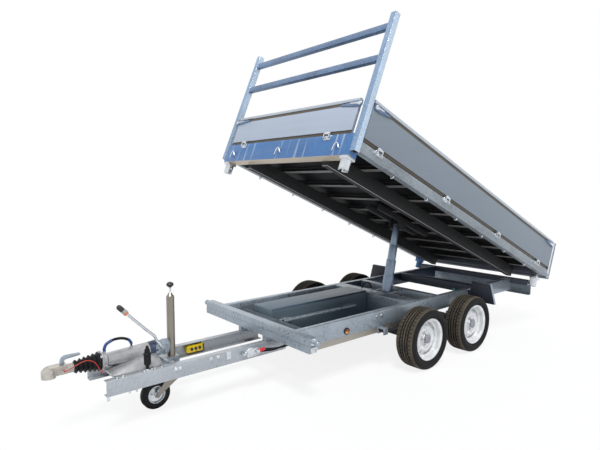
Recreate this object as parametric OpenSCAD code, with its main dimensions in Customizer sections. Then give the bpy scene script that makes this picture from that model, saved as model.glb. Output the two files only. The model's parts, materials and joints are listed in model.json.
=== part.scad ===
// Tandem-axle three-way tipper trailer with a ladder rack, bed raised at rest.
// X points forward along the drawbar, Y to the left side, Z up from the ground.

/* [Running gear] */
// Distance between the two axles
axle_spacing = 710; // [640:10:800]
// Distance between the wheel centre planes on one axle
track = 1470; // [1420:10:1520]
// Outer diameter of a road tyre
tyre_d = 525; // [505:5:545]
// Greatest width of a road tyre
tyre_w = 190; // [165:5:200]
// Diameter over the flange of a steel wheel
rim_d = 365; // [345:5:380]
// Width of a steel wheel between its flanges
rim_w = 160; // [140:5:165]
// Side of the square axle beam
axle_beam = 70; // [60:5:80]

/* [Chassis] */
// Height of the top of the chassis rails above the ground
rail_top = 508; // [490:2:540]
// Height of a chassis rail
rail_h = 134; // [110:2:150]
// Width of a chassis rail
rail_w = 55; // [45:1:65]
// Gap between a tyre and the chassis rail beside it
rail_gap = 108; // [95:1:120]
// Width of the tubes that carry the tipping balls
ball_beam_w = 70; // [60:2:80]
// Height of one tube of the ball beams
ball_beam_h = 54; // [50:2:60]
// Radius of a tipping ball
ball_r = 24; // [20:1:28]
// Distance of a tipping ball in from the side of the bed
ball_inset = 103; // [92:1:115]
// Distance from the middle of the axles back to the rear tipping balls
tip_back = 1615; // [1560:5:1680]
// Distance of the side marker lamps behind the front ball beam
marker_back = 520; // [400:10:700]
// Length of the cross beam in front of the tipping cylinder
mid_beam_w = 140; // [100:5:180]

/* [Drawbar] */
// Distance from the front ball beam to the front end of the drawbar arms
drawbar_reach = 1250; // [1150:10:1400]
// Height of a drawbar arm
arm_h = 100; // [80:2:110]
// Width over both drawbar arms
arm_span = 390; // [370:2:420]
// Flange width of a drawbar arm
arm_w = 50; // [40:1:60]
// Height of the coupling axis above the ground
coupling_z = 430; // [420:1:450]
// Radius of the overrun housing
overrun_r = 47; // [42:1:52]
// Radius of the jockey wheel
jockey_r = 105; // [95:1:110]
// Radius of the jockey wheel's outer tube
jockey_tube_r = 28; // [24:1:32]
// Forward trail of the jockey wheel
jockey_trail = 127; // [115:1:140]
// Distance of the jockey tube behind the front end of the drawbar arms
jockey_back = 525; // [480:5:600]

/* [Bed] */
// Tipping angle of the bed at rest
bed_tilt = 22.4; // [15:0.1:30]
// Length of the bed over its front and rear boards
bed_len = 3391; // [3200:1:3500]
// Width of the bed over its side boards
bed_w = 1740; // [1720:2:1780]
// Height of the board tops above the tipping balls
board_top = 516; // [460:2:580]
// Thickness of a board
board_t = 25; // [20:1:30]
// Height of the side rails
side_rail_h = 78; // [60:1:90]
// Height of the floor above the tipping balls
floor_w = 188; // [180:1:200]
// Height of the ladder rack above the tipping balls
rack_top = 1200; // [1000:5:1300]
// Side of the ladder rack's square posts
post_w = 50; // [40:1:60]

/* [Tipping cylinder] */
// Outer radius of the barrel
barrel_r = 62; // [58:1:66]
// Outer radius of the first stage
stage_1_r = 53; // [51:0.5:54]
// Outer radius of the second stage
stage_2_r = 49; // [47:0.5:50]
// Outer radius of the third stage
stage_3_r = 42; // [40:0.5:44]
// Radius of the rod
rod_r = 34; // [30:0.5:36]
// Height of the trunnion above the ground
trunnion_z = 448; // [442:1:455]

/* [Hidden] */
$fn = 48;

// Clearances: running fits, loose seats and moving gaps
fit = 0.3;
ball_fit = 0.4;
move_gap = 6;

// Rails and ball beams
rail_out = track / 2 - tyre_w / 2 - rail_gap;
rail_in = rail_out - rail_w;
rail_bot = rail_top - rail_h;
ball_z = rail_top - ball_beam_h / 2;
beam_bot = rail_top - 2 * ball_beam_h;
tip_x = -tip_back;
rear_overhang = 126;
front_inset = 46;
cup_wall = 14;
cup_gap = 9;
cup_r = ball_r + cup_wall;
ball_gauge = bed_w - 2 * ball_inset;
ball_beam_len = ball_gauge - 2 * (cup_r + cup_gap);
front_x = tip_x + bed_len - rear_overhang - front_inset;
beam_half = ball_beam_w / 2;

// Drawbar, coupling and jockey wheel, measured forward of the front ball beam
arm_top = beam_bot - 44;
arm_bot = arm_top - arm_h;
arm_out = arm_span / 2;
arm_in = arm_out - arm_w;
arm_wall = 5;
arm_front = front_x + drawbar_reach;
tray_beam_w = 40;
tray_front = front_x - 175;
arm_rear = tray_front + 5;
flange_x = arm_front - 40;
flange_t = 14;
bellows_len = 165;
head_x = flange_x + flange_t + bellows_len;
head_len = 185;
nose_x = head_x + head_len;
jockey_x = arm_front - jockey_back;
jockey_top = 790;
jockey_foot = arm_bot - 16;
jockey_wheel_x = jockey_x + jockey_trail;

// Tipping cylinder: trunnion, eye on the bed and the direction between them at rest
eye_u = tip_back - 33;
eye_w = 64;
trunnion_x = -32;
eye_x = tip_x + eye_u * cos(bed_tilt) - eye_w * sin(bed_tilt);
eye_z = ball_z + eye_u * sin(bed_tilt) + eye_w * cos(bed_tilt);
lift_len = norm([eye_x - trunnion_x, eye_z - trunnion_z]);
lift_lean = atan2(eye_x - trunnion_x, eye_z - trunnion_z);
barrel_top = 42;
barrel_depth = 305;
barrel_floor = 8;
collar_step = 7;
rod_neck = 55;
stage_share = (lift_len - barrel_top - rod_neck) / 4;
stage_1_top = barrel_top + stage_share + collar_step;
stage_2_top = stage_1_top + stage_share + collar_step;
stage_3_top = stage_2_top + stage_share + collar_step;
pin_r = 14;
eye_drift = 17;
rod_crown = 24;
stage_len = barrel_top + barrel_depth - barrel_floor - 6;
rod_len = stage_len + 50;

// Cross beams in front of and behind the cylinder
rear_cross_gap = 180;
trunnion_gap = 127;
mid_beam_x = trunnion_x + trunnion_gap + mid_beam_w / 2;
back_beam_w = 60;
back_beam_x = trunnion_x - trunnion_gap - 41;
trunnion_r = 16;
trunnion_y = barrel_r + 16;
trunnion_plate = 14;

// Axles, springs and wheels
wheel_z = tyre_d / 2;
axle_x = axle_spacing / 2;
spring_y = rail_out + 36;
spring_w = 60;
spring_t = 12;
spring_len = axle_spacing - 50;
spring_eye_z = wheel_z + axle_beam / 2 + 44;
spring_eye_r = 16;
spring_pin_r = 8;
stub_r = 20;
drum_r = 105;
drum_w = 54;
rim_flange = rim_d / 2;
rim_seat = rim_flange - 17;
disc_z = 34;
wheel_y = track / 2;

// Bed frame and boards, measured from the rear tipping balls
bed_front = bed_len - rear_overhang;
bed_rear = -rear_overhang;
bed_half = bed_w / 2;
side_rail_t = 60;
rail_low = floor_w - side_rail_h;
main_beam_w = 60;
main_beam_y = rail_out - rail_w / 2;
main_low = rail_top - ball_z + move_gap;
cross_h = 38;
cross_low = floor_w - cross_h;
floor_t = 4;
floor_top = floor_w + floor_t;
front_plate_low = 70;
front_plate_top = 235;
plate_t = 30;
lip_h = 22;
lip_inset = 8;
board_low = floor_top + 5;
front_board_low = front_plate_top + 5;
axis_out = 14;
hinge_r = 5;
lug_r = 7;
post_in = bed_half - post_w;
side_front = bed_front - post_w - move_gap;
rear_post_w = 40;
tail_inner = bed_rear + board_t;
side_rear = tail_inner + rear_post_w + 2 * move_gap;
tail_low = 97;
tail_axis_w = board_top - 22;
tail_axis_u = tail_inner + 20;

// Whole length at rest, to centre the part over its origin
tail_top_x = tip_x + bed_rear * cos(bed_tilt) - board_top * sin(bed_tilt);
mid_x = (nose_x + tail_top_x) / 2;

zinc = "silver";
dark_zinc = "slategray";
board_colour = "lightslategray";
rubber = "#222222";

module place() { translate([-mid_x, 0, 0]) children(); }
module on_bed() { place() translate([tip_x, 0, ball_z]) rotate([0, -bed_tilt, 0]) children(); }
module both_sides() { children(); mirror([0, 1, 0]) children(); }
module block(low, high) { translate(low) cube(high - low); }
module rod_x(x0, x1, y, z, r) { translate([x0, y, z]) rotate([0, 90, 0]) cylinder(h = x1 - x0, r = r); }
module rod_y(y0, y1, x, z, r) { translate([x, y0, z]) rotate([-90, 0, 0]) cylinder(h = y1 - y0, r = r); }

// A smooth tube along hand-chosen points, with its rings turned about one reference direction
function unit(v) = v / norm(v);
function between(p, i, t) =
  let (a = p[max(i - 1, 0)], b = p[i], c = p[i + 1], d = p[min(i + 2, len(p) - 1)])
  0.5 * (2 * b + (c - a) * t + (2 * a - 5 * b + 4 * c - d) * t * t + (3 * b - a - 3 * c + d) * t * t * t);
function smooth(p, k) = [
  for (i = [0 : len(p) - 2]) for (j = [0 : k - 1]) between(p, i, j / k),
  p[len(p) - 1]
];
function ring(p, dir, ref, r, n) =
  let (s = unit(cross(dir, ref)), t = cross(s, dir))
  [for (i = [0 : n - 1]) p + r * (cos(360 * i / n) * s + sin(360 * i / n) * t)];
module tube(route, r, ref, steps = 3, n = 8) {
  path = smooth(route, steps);
  last = len(path) - 1;
  rings = [
    for (i = [0 : last]) ring(path[i], unit(path[min(i + 1, last)] - path[max(i - 1, 0)]), ref, r, n)
  ];
  points = [for (one = rings) for (p = one) p];
  walls = [
    for (i = [0 : last - 1]) for (j = [0 : n - 1])
      [i * n + j, i * n + (j + 1) % n, (i + 1) * n + (j + 1) % n, (i + 1) * n + j]
  ];
  caps = [[for (j = [n - 1 : -1 : 0]) j], [for (j = [0 : n - 1]) last * n + j]];
  polyhedron(points, concat(walls, caps), convexity = 6);
}

// Chassis

module rails() {
  color(zinc) place() both_sides()
    block([tip_x + beam_half, rail_in, rail_bot], [front_x - beam_half, rail_out, rail_top]);
}

// Columns: centre along X, width along X, top below the rail top, height
cross_beam_table = [
  [mid_beam_x, mid_beam_w, 0, rail_h - 10],
  [back_beam_x, back_beam_w, 0, rail_h - 10],
  [-axle_spacing - rear_cross_gap, 60, 0, 90]
];

module cross_beams() {
  plate_x0 = back_beam_x + back_beam_w / 2 + fit;
  plate_x1 = mid_beam_x - mid_beam_w / 2 - fit;
  color(zinc) place() {
    for (b = cross_beam_table)
      block([b[0] - b[1] / 2, -rail_in, rail_top - b[2] - b[3]], [b[0] + b[1] / 2, rail_in, rail_top - b[2]]);
    both_sides() difference() {
      block([plate_x0, trunnion_y, trunnion_z - 45], [plate_x1, trunnion_y + trunnion_plate, trunnion_z + 45]);
      rod_y(trunnion_y - 1, trunnion_y + trunnion_plate + 1, trunnion_x, trunnion_z, trunnion_r + fit);
    }
    block([tray_front + 5, -rail_in, arm_top], [tray_front + 5 + tray_beam_w, rail_in, rail_bot + 26]);
    both_sides()
      block([front_x - 30, arm_in + arm_wall, arm_top], [front_x + 30, arm_out - arm_wall, beam_bot]);
    block([jockey_x + 40, -arm_in, arm_top - 60], [jockey_x + 80, arm_in, arm_top]);
  }
}

module ball_beam(x, tubes) {
  for (i = [0 : tubes - 1])
    block([x - beam_half, -ball_beam_len / 2, rail_top - (i + 1) * ball_beam_h],
          [x + beam_half, ball_beam_len / 2, rail_top - i * ball_beam_h]);
  both_sides() {
    rod_y(ball_beam_len / 2 - 1, ball_gauge / 2, x, ball_z, ball_r * 0.55);
    translate([x, ball_gauge / 2, ball_z]) sphere(r = ball_r);
  }
}
module front_beam() { color(zinc) place() ball_beam(front_x, 2); }
module rear_beam() { color(zinc) place() ball_beam(tip_x, 1); }

module drawbar_arms() {
  color(zinc) place() both_sides() difference() {
    block([arm_rear, arm_in, arm_bot], [arm_front, arm_out, arm_top]);
    block([arm_rear - 1, arm_in - 1, arm_bot + arm_wall], [arm_front + 1, arm_out - arm_wall, arm_top - arm_wall]);
  }
}

module overrun_housing() {
  color(zinc) place() {
    rod_x(jockey_x + 90, flange_x, 0, coupling_z, overrun_r);
    block([flange_x, -70, coupling_z - 70], [flange_x + flange_t, 70, coupling_z + overrun_r + 14]);
    for (x = [flange_x - 60, jockey_x + 130])
      block([x, -arm_out + 8, arm_top], [x + 14, arm_out - 8, coupling_z]);
  }
}

module coupling_head() {
  color(zinc) place() difference() {
    union() {
      rod_x(head_x, head_x + 60, 0, coupling_z, 30);
      block([head_x + 40, -32, coupling_z - 22], [nose_x - 42, 32, coupling_z + 34]);
      translate([nose_x - 42, 0, coupling_z - 34]) cylinder(h = 62, r = 42);
    }
    translate([nose_x - 42, 0, coupling_z - 12]) sphere(r = 25);
    translate([nose_x - 42, 0, coupling_z - 35]) cylinder(h = 24, r = 25);
  }
}

module coupling_handle() {
  color(zinc) place() {
    block([nose_x - 132, -12, coupling_z + 34], [nose_x - 108, 12, coupling_z + 86]);
    block([nose_x - 222, -11, coupling_z + 74], [nose_x - 132, 11, coupling_z + 88]);
  }
}

module bellows() {
  folds = 6;
  pitch = bellows_len / folds;
  function fold_r(i) = 64 - 4 * i;
  color(rubber) place() translate([flange_x + flange_t, 0, coupling_z]) rotate([0, 90, 0]) rotate_extrude()
    polygon(concat(
      [[0, 0]],
      [for (i = [0 : folds - 1]) each [[fold_r(i) - 14, i * pitch], [fold_r(i), (i + 0.5) * pitch]]],
      [[32, bellows_len], [0, bellows_len]]
    ));
}

module handbrake_lever() {
  base_x = jockey_x + 118;
  color(zinc) place() {
    block([base_x, 50, coupling_z], [base_x + 40, 62, coupling_z + 60]);
    tube([
      [base_x + 20, 56, coupling_z + 60], [base_x + 34, 56, coupling_z + 110],
      [base_x + 90, 56, coupling_z + 165], [base_x + 240, 56, coupling_z + 320]
    ], 11, [0, 1, 0], 3, 12);
  }
}

module breakaway_cable() {
  color("red") place() tube([
    [flange_x + flange_t, 62, coupling_z - 50], [flange_x + flange_t + 8, 62, coupling_z - 50],
    [flange_x + flange_t + 16, 62, coupling_z - 50], [flange_x + flange_t + 50, 72, coupling_z + 20],
    [flange_x + flange_t + 110, 66, coupling_z + 46], [head_x + 52, 58, coupling_z + 6],
    [head_x + 62, 46, coupling_z + 4], [head_x + 62, 39, coupling_z + 4], [head_x + 62, 32, coupling_z + 4]
  ], 3, [0, 0, 1], 4, 8);
}

module lead_plug() {
  plug_x = flange_x - 235;
  color(rubber) place() {
    translate([plug_x, arm_out - 22, arm_top]) cylinder(h = 40, r = 18);
    translate([plug_x, arm_out - 22, arm_top + 40]) cylinder(h = 130, r = 24);
  }
}

module jockey_tube() {
  inner = jockey_tube_r - 4;
  color(zinc) place() {
    difference() {
      translate([jockey_x, 0, jockey_foot]) cylinder(h = jockey_top - jockey_foot, r = jockey_tube_r);
      translate([jockey_x, 0, jockey_foot - 1]) cylinder(h = jockey_top - jockey_foot - 9, r = inner);
    }
    translate([jockey_x, 0, jockey_top]) cylinder(h = 45, r = 10);
    translate([jockey_x, 0, jockey_top + 45]) cylinder(h = 55, r = 24);
    difference() {
      block([jockey_x - 44, -40, arm_top - 60], [jockey_x + 40, 40, arm_top]);
      translate([jockey_x, 0, arm_top - 61]) cylinder(h = 62, r = jockey_tube_r - 1);
    }
  }
}

tray_rear = mid_beam_x + mid_beam_w / 2 + 5;
tray_low = rail_bot - 74;
tray_top = rail_top - 38;
tray_wall = 3;
module pump_tray() {
  color(dark_zinc) place() difference() {
    block([tray_rear, -rail_in, tray_low], [tray_front, rail_in, tray_top]);
    block([tray_rear + tray_wall, -rail_in + tray_wall, tray_low + tray_wall],
          [tray_front - tray_wall, rail_in - tray_wall, tray_top + 1]);
  }
}

cover_side = -10;
cover_w = 280;
cover_top = rail_top + 22;
module pump_cover() {
  color(dark_zinc) place()
    block([tray_rear + 12, cover_side - cover_w, tray_low + tray_wall], [tray_front - 12, cover_side, cover_top]);
}

module rods_and_pipes() {
  pipe_z = rail_top - 78;
  pipe_y = cover_side + 50;
  brake_z = wheel_z + 8;
  color(dark_zinc) place() {
    rod_x(tray_rear + 230, tray_front - 90, pipe_y, pipe_z, 18);
    for (x = [tray_rear + 280, tray_front - 160])
      block([x, cover_side, pipe_z - 10], [x + 30, pipe_y - 17, pipe_z + 10]);
    rod_x(axle_x + axle_beam / 2, jockey_x + 150, 80, brake_z, 8);
    block([jockey_x + 130, 72, brake_z], [jockey_x + 144, 88, arm_top]);
  }
}

valve_x = front_x + 120;
module hydraulic_valve() {
  z = arm_top - 40;
  color(zinc) place() {
    block([valve_x, arm_out, z - 30], [valve_x + 110, arm_out + 46, z + 30]);
    rod_y(arm_out + 46, arm_out + 66, valve_x + 30, z, 12);
    block([valve_x - 40, arm_out + 52, z + 2], [valve_x + 30, arm_out + 64, z + 22]);
  }
}

module hoses() {
  z = arm_top - 40;
  y = arm_out + 20;
  color(rubber) place() {
    for (i = [0 : 1])
      tube([
        [valve_x, y + 18 * i, z - 16 + 24 * i], [valve_x - 15, y + 18 * i, z - 16 + 24 * i],
        [valve_x - 30, y + 18 * i, z - 16 + 24 * i], [front_x - 10, y + 40 + 20 * i, z - 12 + 14 * i],
        [tray_front + 60, y + 60 + 20 * i, tray_low + 24], [tray_front + 30, y + 60 + 20 * i, tray_low + 24],
        [tray_front, y + 60 + 20 * i, tray_low + 24]
      ], 7, [0, 0, 1], 4, 8);
  }
}

module pendant() {
  x = front_x + 380;
  color("gold") place()
    block([x, -arm_out + arm_wall, arm_bot + 22], [x + 145, -arm_out + arm_wall + 40, arm_bot + 78]);
}

marker_x = front_x - marker_back;
module marker_lamps() {
  color("orange") place() both_sides() {
    rod_y(rail_out, rail_out + 9, marker_x, rail_bot + rail_h * 0.3, 27);
    rod_y(ball_beam_len / 2, ball_beam_len / 2 + 6, front_x, beam_bot + 22, 20);
  }
}

// Running gear

module axles() {
  color(dark_zinc) place() for (x = [-axle_x, axle_x]) {
    block([x - axle_beam / 2, -spring_y - spring_w / 2 - 6, wheel_z - axle_beam / 2],
          [x + axle_beam / 2, spring_y + spring_w / 2 + 6, wheel_z + axle_beam / 2]);
    both_sides() {
      rod_y(spring_y + spring_w / 2 + 5, wheel_y + disc_z - 6, x, wheel_z, stub_r);
      rod_y(spring_y + spring_w / 2 + 6, spring_y + spring_w / 2 + 14, x, wheel_z, drum_r);
      block([x - 40, spring_y - spring_w / 2, wheel_z + axle_beam / 2],
            [x + 40, spring_y + spring_w / 2, spring_eye_z - 24]);
    }
  }
}

// A leaf is a flat arc between its two eyes that sags to its seat on the axle
function leaf_z(t, sag) = -sag * (1 - t * t);
module leaf(half, sag, thick) {
  n = 12;
  line = [for (i = [-n : n]) [half * i / n, leaf_z(i / n, sag)]];
  polygon(concat(line, [for (i = [n : -1 : -n]) [half * i / n, leaf_z(i / n, sag) + thick]]));
}
module leaf_springs() {
  half = spring_len / 2;
  sag = 24;
  color(dark_zinc) place() both_sides() for (x = [-axle_x, axle_x])
    translate([x, spring_y + spring_w / 2, spring_eye_z]) rotate([90, 0, 0]) difference() {
      linear_extrude(spring_w) {
        leaf(half, sag, spring_t);
        for (s = [-1, 1]) translate([s * half, spring_t / 2]) circle(r = spring_eye_r);
      }
      for (s = [-1, 1]) translate([s * half, spring_t / 2, -1]) cylinder(h = spring_w + 2, r = spring_pin_r + fit);
    }
}

module spring_hangers() {
  half = spring_len / 2;
  plate = 8;
  y0 = spring_y - spring_w / 2;
  y1 = spring_y + spring_w / 2;
  color(zinc) place() both_sides() for (x = [axle_x + half, axle_x - half, half - axle_x, -axle_x - half]) {
    for (y = [y0 - plate, y1])
      block([x - 26, y, spring_eye_z - 22], [x + 26, y + plate, rail_bot - plate]);
    block([x - 26, rail_in + 10, rail_bot - plate], [x + 26, y1 + plate, rail_bot]);
    rod_y(y0 - plate, y1 + plate, x, spring_eye_z + spring_t / 2, spring_pin_r);
  }
}

module mud_flaps() {
  x = -axle_x - wheel_z - 80;
  flap_t = 6;
  low = 395;
  high = 590;
  color(dark_zinc) place() both_sides() {
    translate([x, 0, 0]) rotate([90, 0, 90]) linear_extrude(flap_t)
      polygon([[rail_out, low], [wheel_y + tyre_w / 2 - 10, low],
               [wheel_y + tyre_w / 2 - 60, high], [rail_out + 36, high]]);
    block([x, rail_out, rail_bot + 40], [x + flap_t, rail_out + 20, rail_top - 10]);
  }
}

light_low = 335;
light_half = 715;
module light_board() {
  x1 = tip_x + 15;
  x0 = tip_x - 75;
  t = 4;
  high = rail_top - ball_beam_h;
  color(zinc) place() {
    block([x0, -light_half, light_low], [x0 + t, light_half, high]);
    block([x0, -light_half, high - t], [x1, light_half, high]);
    block([x0, -light_half, light_low], [x0 + 50, light_half, light_low + t]);
  }
}

module tail_lamps() {
  x0 = tip_x - 75;
  color("red") place() both_sides()
    block([x0 - 32, light_half - 250, light_low + 12], [x0, light_half - 20, light_low + 108]);
}

// Jockey wheel

module jockey_fork() {
  inner = jockey_tube_r - 4 - fit;
  half = 36;
  plate = 5;
  top = jockey_foot - 0.5;
  color(zinc) place() {
    translate([jockey_x, 0, jockey_foot - 3]) cylinder(h = arm_top - jockey_foot, r = inner);
    translate([jockey_x, 0, top - 14]) cylinder(h = 14, r = jockey_tube_r + 6);
    block([jockey_x - 30, -half - plate, top - 20], [jockey_x + 46, half + plate, top - 14]);
    both_sides() translate([0, half + plate, 0]) rotate([90, 0, 0]) linear_extrude(plate)
      polygon([[jockey_x - 30, top - 14], [jockey_x + 46, top - 14],
               [jockey_wheel_x + 20, jockey_r - 12], [jockey_wheel_x - 8, jockey_r - 22],
               [jockey_wheel_x - 30, jockey_r + 2], [jockey_x - 30, top - 50]]);
    rod_y(-half - plate - 6, half + plate + 6, jockey_wheel_x, jockey_r, 8);
  }
}

module jockey_tyre() {
  color(rubber) place() translate([jockey_wheel_x, 0, jockey_r]) rotate([-90, 0, 0]) rotate_extrude()
    polygon([[62, -24], [80, -30], [96, -28], [jockey_r, -16], [jockey_r, 16], [96, 28], [80, 30], [62, 24]]);
}

module jockey_rim() {
  color(zinc) place() translate([jockey_wheel_x, 0, jockey_r]) rotate([-90, 0, 0]) difference() {
    union() {
      rotate_extrude() polygon([[62, -26], [62, 26], [58, 26], [54, 6], [54, -6], [58, -26]]);
      cylinder(h = 12, r = 55, center = true);
      cylinder(h = 66, r = 16, center = true);
    }
    cylinder(h = 80, r = 8 + fit, center = true);
  }
}

// Road wheels

module at_wheel(fore, side) {
  place() translate([fore * axle_x, 0, wheel_z]) mirror([0, side > 0 ? 0 : 1, 0])
    translate([0, wheel_y, 0]) rotate([-90, 0, 0]) children();
}

module tyre() {
  r = tyre_d / 2;
  h = tyre_w / 2;
  b = rim_w / 2 - 9;
  mid = (r + rim_seat) / 2;
  half = [[rim_seat, b], [rim_flange + 6, b + 6], [mid, h], [mid + 24, h - 1], [r - 16, h - 8], [r - 5, h - 18],
          [r - 1, h - 32], [r, h - 50]];
  color(rubber) rotate_extrude($fn = 96)
    polygon(concat(half, [for (i = [len(half) - 1 : -1 : 0]) [half[i][0], -half[i][1]]]));
}

module rim() {
  h = rim_w / 2;
  t = 5;
  s = rim_seat - fit;
  slots = 12;
  color("gainsboro") difference() {
    union() {
      rotate_extrude($fn = 96) polygon([
        [rim_flange, h], [s, h - 9], [s, h - 40], [s - 16, h - 52], [s - 16, 30 - h], [s, 18 - h], [s, 9 - h],
        [rim_flange, -h], [rim_flange - t, -h], [s - t, 9 - h], [s - t, 14 - h], [s - 16 - t, 28 - h],
        [s - 16 - t, h - 54], [s - t, h - 42], [s - t, h - 9], [rim_flange - t, h]]);
      rotate_extrude($fn = 96) polygon([
        [0, disc_z - 6], [70, disc_z - 6], [96, disc_z + 6], [s - 20, disc_z - 32], [s - 20, disc_z - 24],
        [98, disc_z + 13], [68, disc_z], [40, disc_z], [38, disc_z + 26], [0, disc_z + 30]]);
      translate([0, 0, disc_z - 6 - drum_w]) cylinder(h = drum_w, r = drum_r - 8);
    }
    for (i = [0 : slots - 1]) rotate(i * 360 / slots) translate([s - 38, 0, -h]) cylinder(h = 2 * h, r = 9);
    translate([0, 0, -h]) cylinder(h = h + disc_z - 5, r = stub_r + fit);
  }
}

module tyre_front_left() { at_wheel(1, 1) tyre(); }
module tyre_front_right() { at_wheel(1, -1) tyre(); }
module tyre_rear_left() { at_wheel(-1, 1) tyre(); }
module tyre_rear_right() { at_wheel(-1, -1) tyre(); }
module rim_front_left() { at_wheel(1, 1) rim(); }
module rim_front_right() { at_wheel(1, -1) rim(); }
module rim_rear_left() { at_wheel(-1, 1) rim(); }
module rim_rear_right() { at_wheel(-1, -1) rim(); }

// Bed

module bed_floor() {
  color(dark_zinc) on_bed() {
    block([tail_inner + rear_post_w + move_gap, -bed_half, floor_w], [bed_front - post_w, bed_half, floor_top]);
    block([bed_front - post_w - 1, -post_in, floor_w], [bed_front - plate_t, post_in, floor_top]);
  }
}

// Places of the hinge lugs along one side board
side_hinges = [for (i = [0 : 3]) 244 + i * (bed_front - 474) / 3];
front_hinges = [-550, 550];
lug_gap = 44;
lug_t = 10;
hinge_w = board_low + 6;
hinge_v = bed_half + axis_out;
front_hinge_w = front_board_low + 6;
front_hinge_u = bed_front + axis_out;

// A pair of lugs and their pin along X, on a face at negative Y below the pin
module lug_pair(reach, drop) {
  for (s = [-1, 1]) translate([s * (lug_gap / 2 + lug_t / 2), 0, 0]) {
    rotate([0, 90, 0]) cylinder(h = lug_t, r = lug_r, center = true);
    block([-lug_t / 2, -reach, -drop], [lug_t / 2, lug_r - 1, 0]);
  }
  rotate([0, 90, 0]) cylinder(h = lug_gap + lug_t, r = hinge_r, center = true);
}

// The knuckle on a board that turns on the pin, with a strap to the board's lip
module knuckle(reach, rise) {
  w = lug_gap - 2 * move_gap;
  difference() {
    union() {
      rotate([0, 90, 0]) cylinder(h = w, r = hinge_r + 4, center = true);
      block([-w / 2, -reach, 0], [w / 2, 0, rise]);
    }
    rotate([0, 90, 0]) cylinder(h = w + 1, r = hinge_r + fit, center = true);
  }
}

module bed_side_rails() {
  color(zinc) on_bed() both_sides() {
    block([tail_inner + rear_post_w + move_gap, bed_half - side_rail_t, rail_low],
          [bed_front - post_w, bed_half, floor_w]);
    for (u = side_hinges) translate([u, hinge_v, hinge_w]) lug_pair(axis_out, 40);
  }
}

cup_beam_v = bed_half - side_rail_t;
front_cup_u = front_x - tip_x;
front_box_u = front_cup_u - 44;
module bed_end_beams() {
  color(zinc) on_bed() {
    block([front_box_u, -cup_beam_v, front_plate_low], [bed_front - plate_t, cup_beam_v, floor_w]);
    block([tail_inner + rear_post_w + move_gap, -cup_beam_v, rail_low], [main_rear, cup_beam_v, floor_w]);
    block([bed_front - plate_t, -post_in, front_plate_low], [bed_front, post_in, front_plate_top]);
    for (v = front_hinges)
      translate([front_hinge_u, v, front_hinge_w]) rotate([0, 0, -90]) lug_pair(axis_out, 40);
    block([tail_inner + move_gap, -bed_half, rail_low - 8],
          [tail_inner + rear_post_w + move_gap, bed_half, floor_top]);
    both_sides() {
      difference() {
        block([tail_inner + move_gap, bed_half - rear_post_w, floor_top],
              [tail_inner + rear_post_w + move_gap, bed_half, board_top - 14]);
        block([tail_inner + move_gap - 1, bed_half - rear_post_w - 1, board_top - 44],
              [tail_inner + rear_post_w + move_gap + 1, bed_half - 10, board_top]);
      }
      rod_y(bed_half - rear_post_w, bed_half - 9, tail_axis_u, tail_axis_w, hinge_r);
    }
  }
}

main_rear = 50;
module bed_main_beams() {
  color(dark_zinc) on_bed() both_sides()
    block([main_rear, main_beam_y - main_beam_w / 2, main_low],
          [front_box_u, main_beam_y + main_beam_w / 2, cross_low]);
}

cross_count = 10;
cross_t = 40;
module bed_cross_members() {
  first = main_rear + 70;
  pitch = (front_box_u - 60 - first) / (cross_count - 1);
  color(dark_zinc) on_bed() for (i = [0 : cross_count - 1])
    block([first + i * pitch, -cup_beam_v, cross_low], [first + i * pitch + cross_t, cup_beam_v, floor_w]);
}

module hook(r) {
  rotate_extrude(angle = 250) translate([r, 0]) circle(r = 5, $fn = 16);
}
module load_hooks() {
  color(zinc) on_bed() {
    for (v = [-684, 0, 684]) {
      translate([bed_front + 17, v, front_plate_low + 40]) rotate([0, -90, 0]) rotate([90, 0, 0]) hook(12);
      rod_x(bed_front, bed_front + 6, v, front_plate_low + 40, 6);
    }
  }
}

cup_low = -30;
cup_high = 50;
module tip_cup(seat) {
  difference() {
    union() {
      translate([0, 0, cup_low]) cylinder(h = cup_high - cup_low, r = cup_r);
      block([-44, -30, cup_high - 1], [44, 43, seat]);
    }
    sphere(r = ball_r + ball_fit);
    translate([0, 0, cup_low - 1]) cylinder(h = 1 - cup_low, r = ball_r + ball_fit);
    translate([0, -cup_r - 1, 0]) rotate([-90, 0, 0]) cylinder(h = cup_r + 1, r = ball_r * 0.55 + 4);
    block([-ball_r * 0.55 - 4, -cup_r - 1, cup_low - 1], [ball_r * 0.55 + 4, 0, 0]);
  }
}
module tip_cups() {
  color(zinc) on_bed() both_sides() {
    translate([0, ball_gauge / 2, 0]) tip_cup(rail_low);
    translate([front_cup_u, ball_gauge / 2, 0]) tip_cup(front_plate_low);
  }
}

// Middle heights of the two rungs of the ladder rack
rungs = [rack_top - 366, rack_top - 105];
rung_h = 50;
module ladder_rack() {
  color(zinc) on_bed() {
    both_sides() block([bed_front - post_w, post_in, rail_low - 8], [bed_front, bed_half, rack_top]);
    for (w = rungs)
      block([bed_front - post_w + 8, -post_in, w - rung_h / 2], [bed_front - 8, post_in, w + rung_h / 2]);
  }
}

module lift_bracket() {
  ear = 10;
  gap = rod_r + 14;
  color(dark_zinc) on_bed() {
    both_sides() {
      block([eye_u - 60, gap, eye_w - 24], [eye_u + 60, gap + ear, cross_low]);
      block([eye_u - 420, gap + ear, cross_low - 50], [eye_u + 420, gap + ear + 40, cross_low]);
    }
    rod_y(-gap, gap, eye_u, eye_w, pin_r);
  }
}

// Boards

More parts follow.
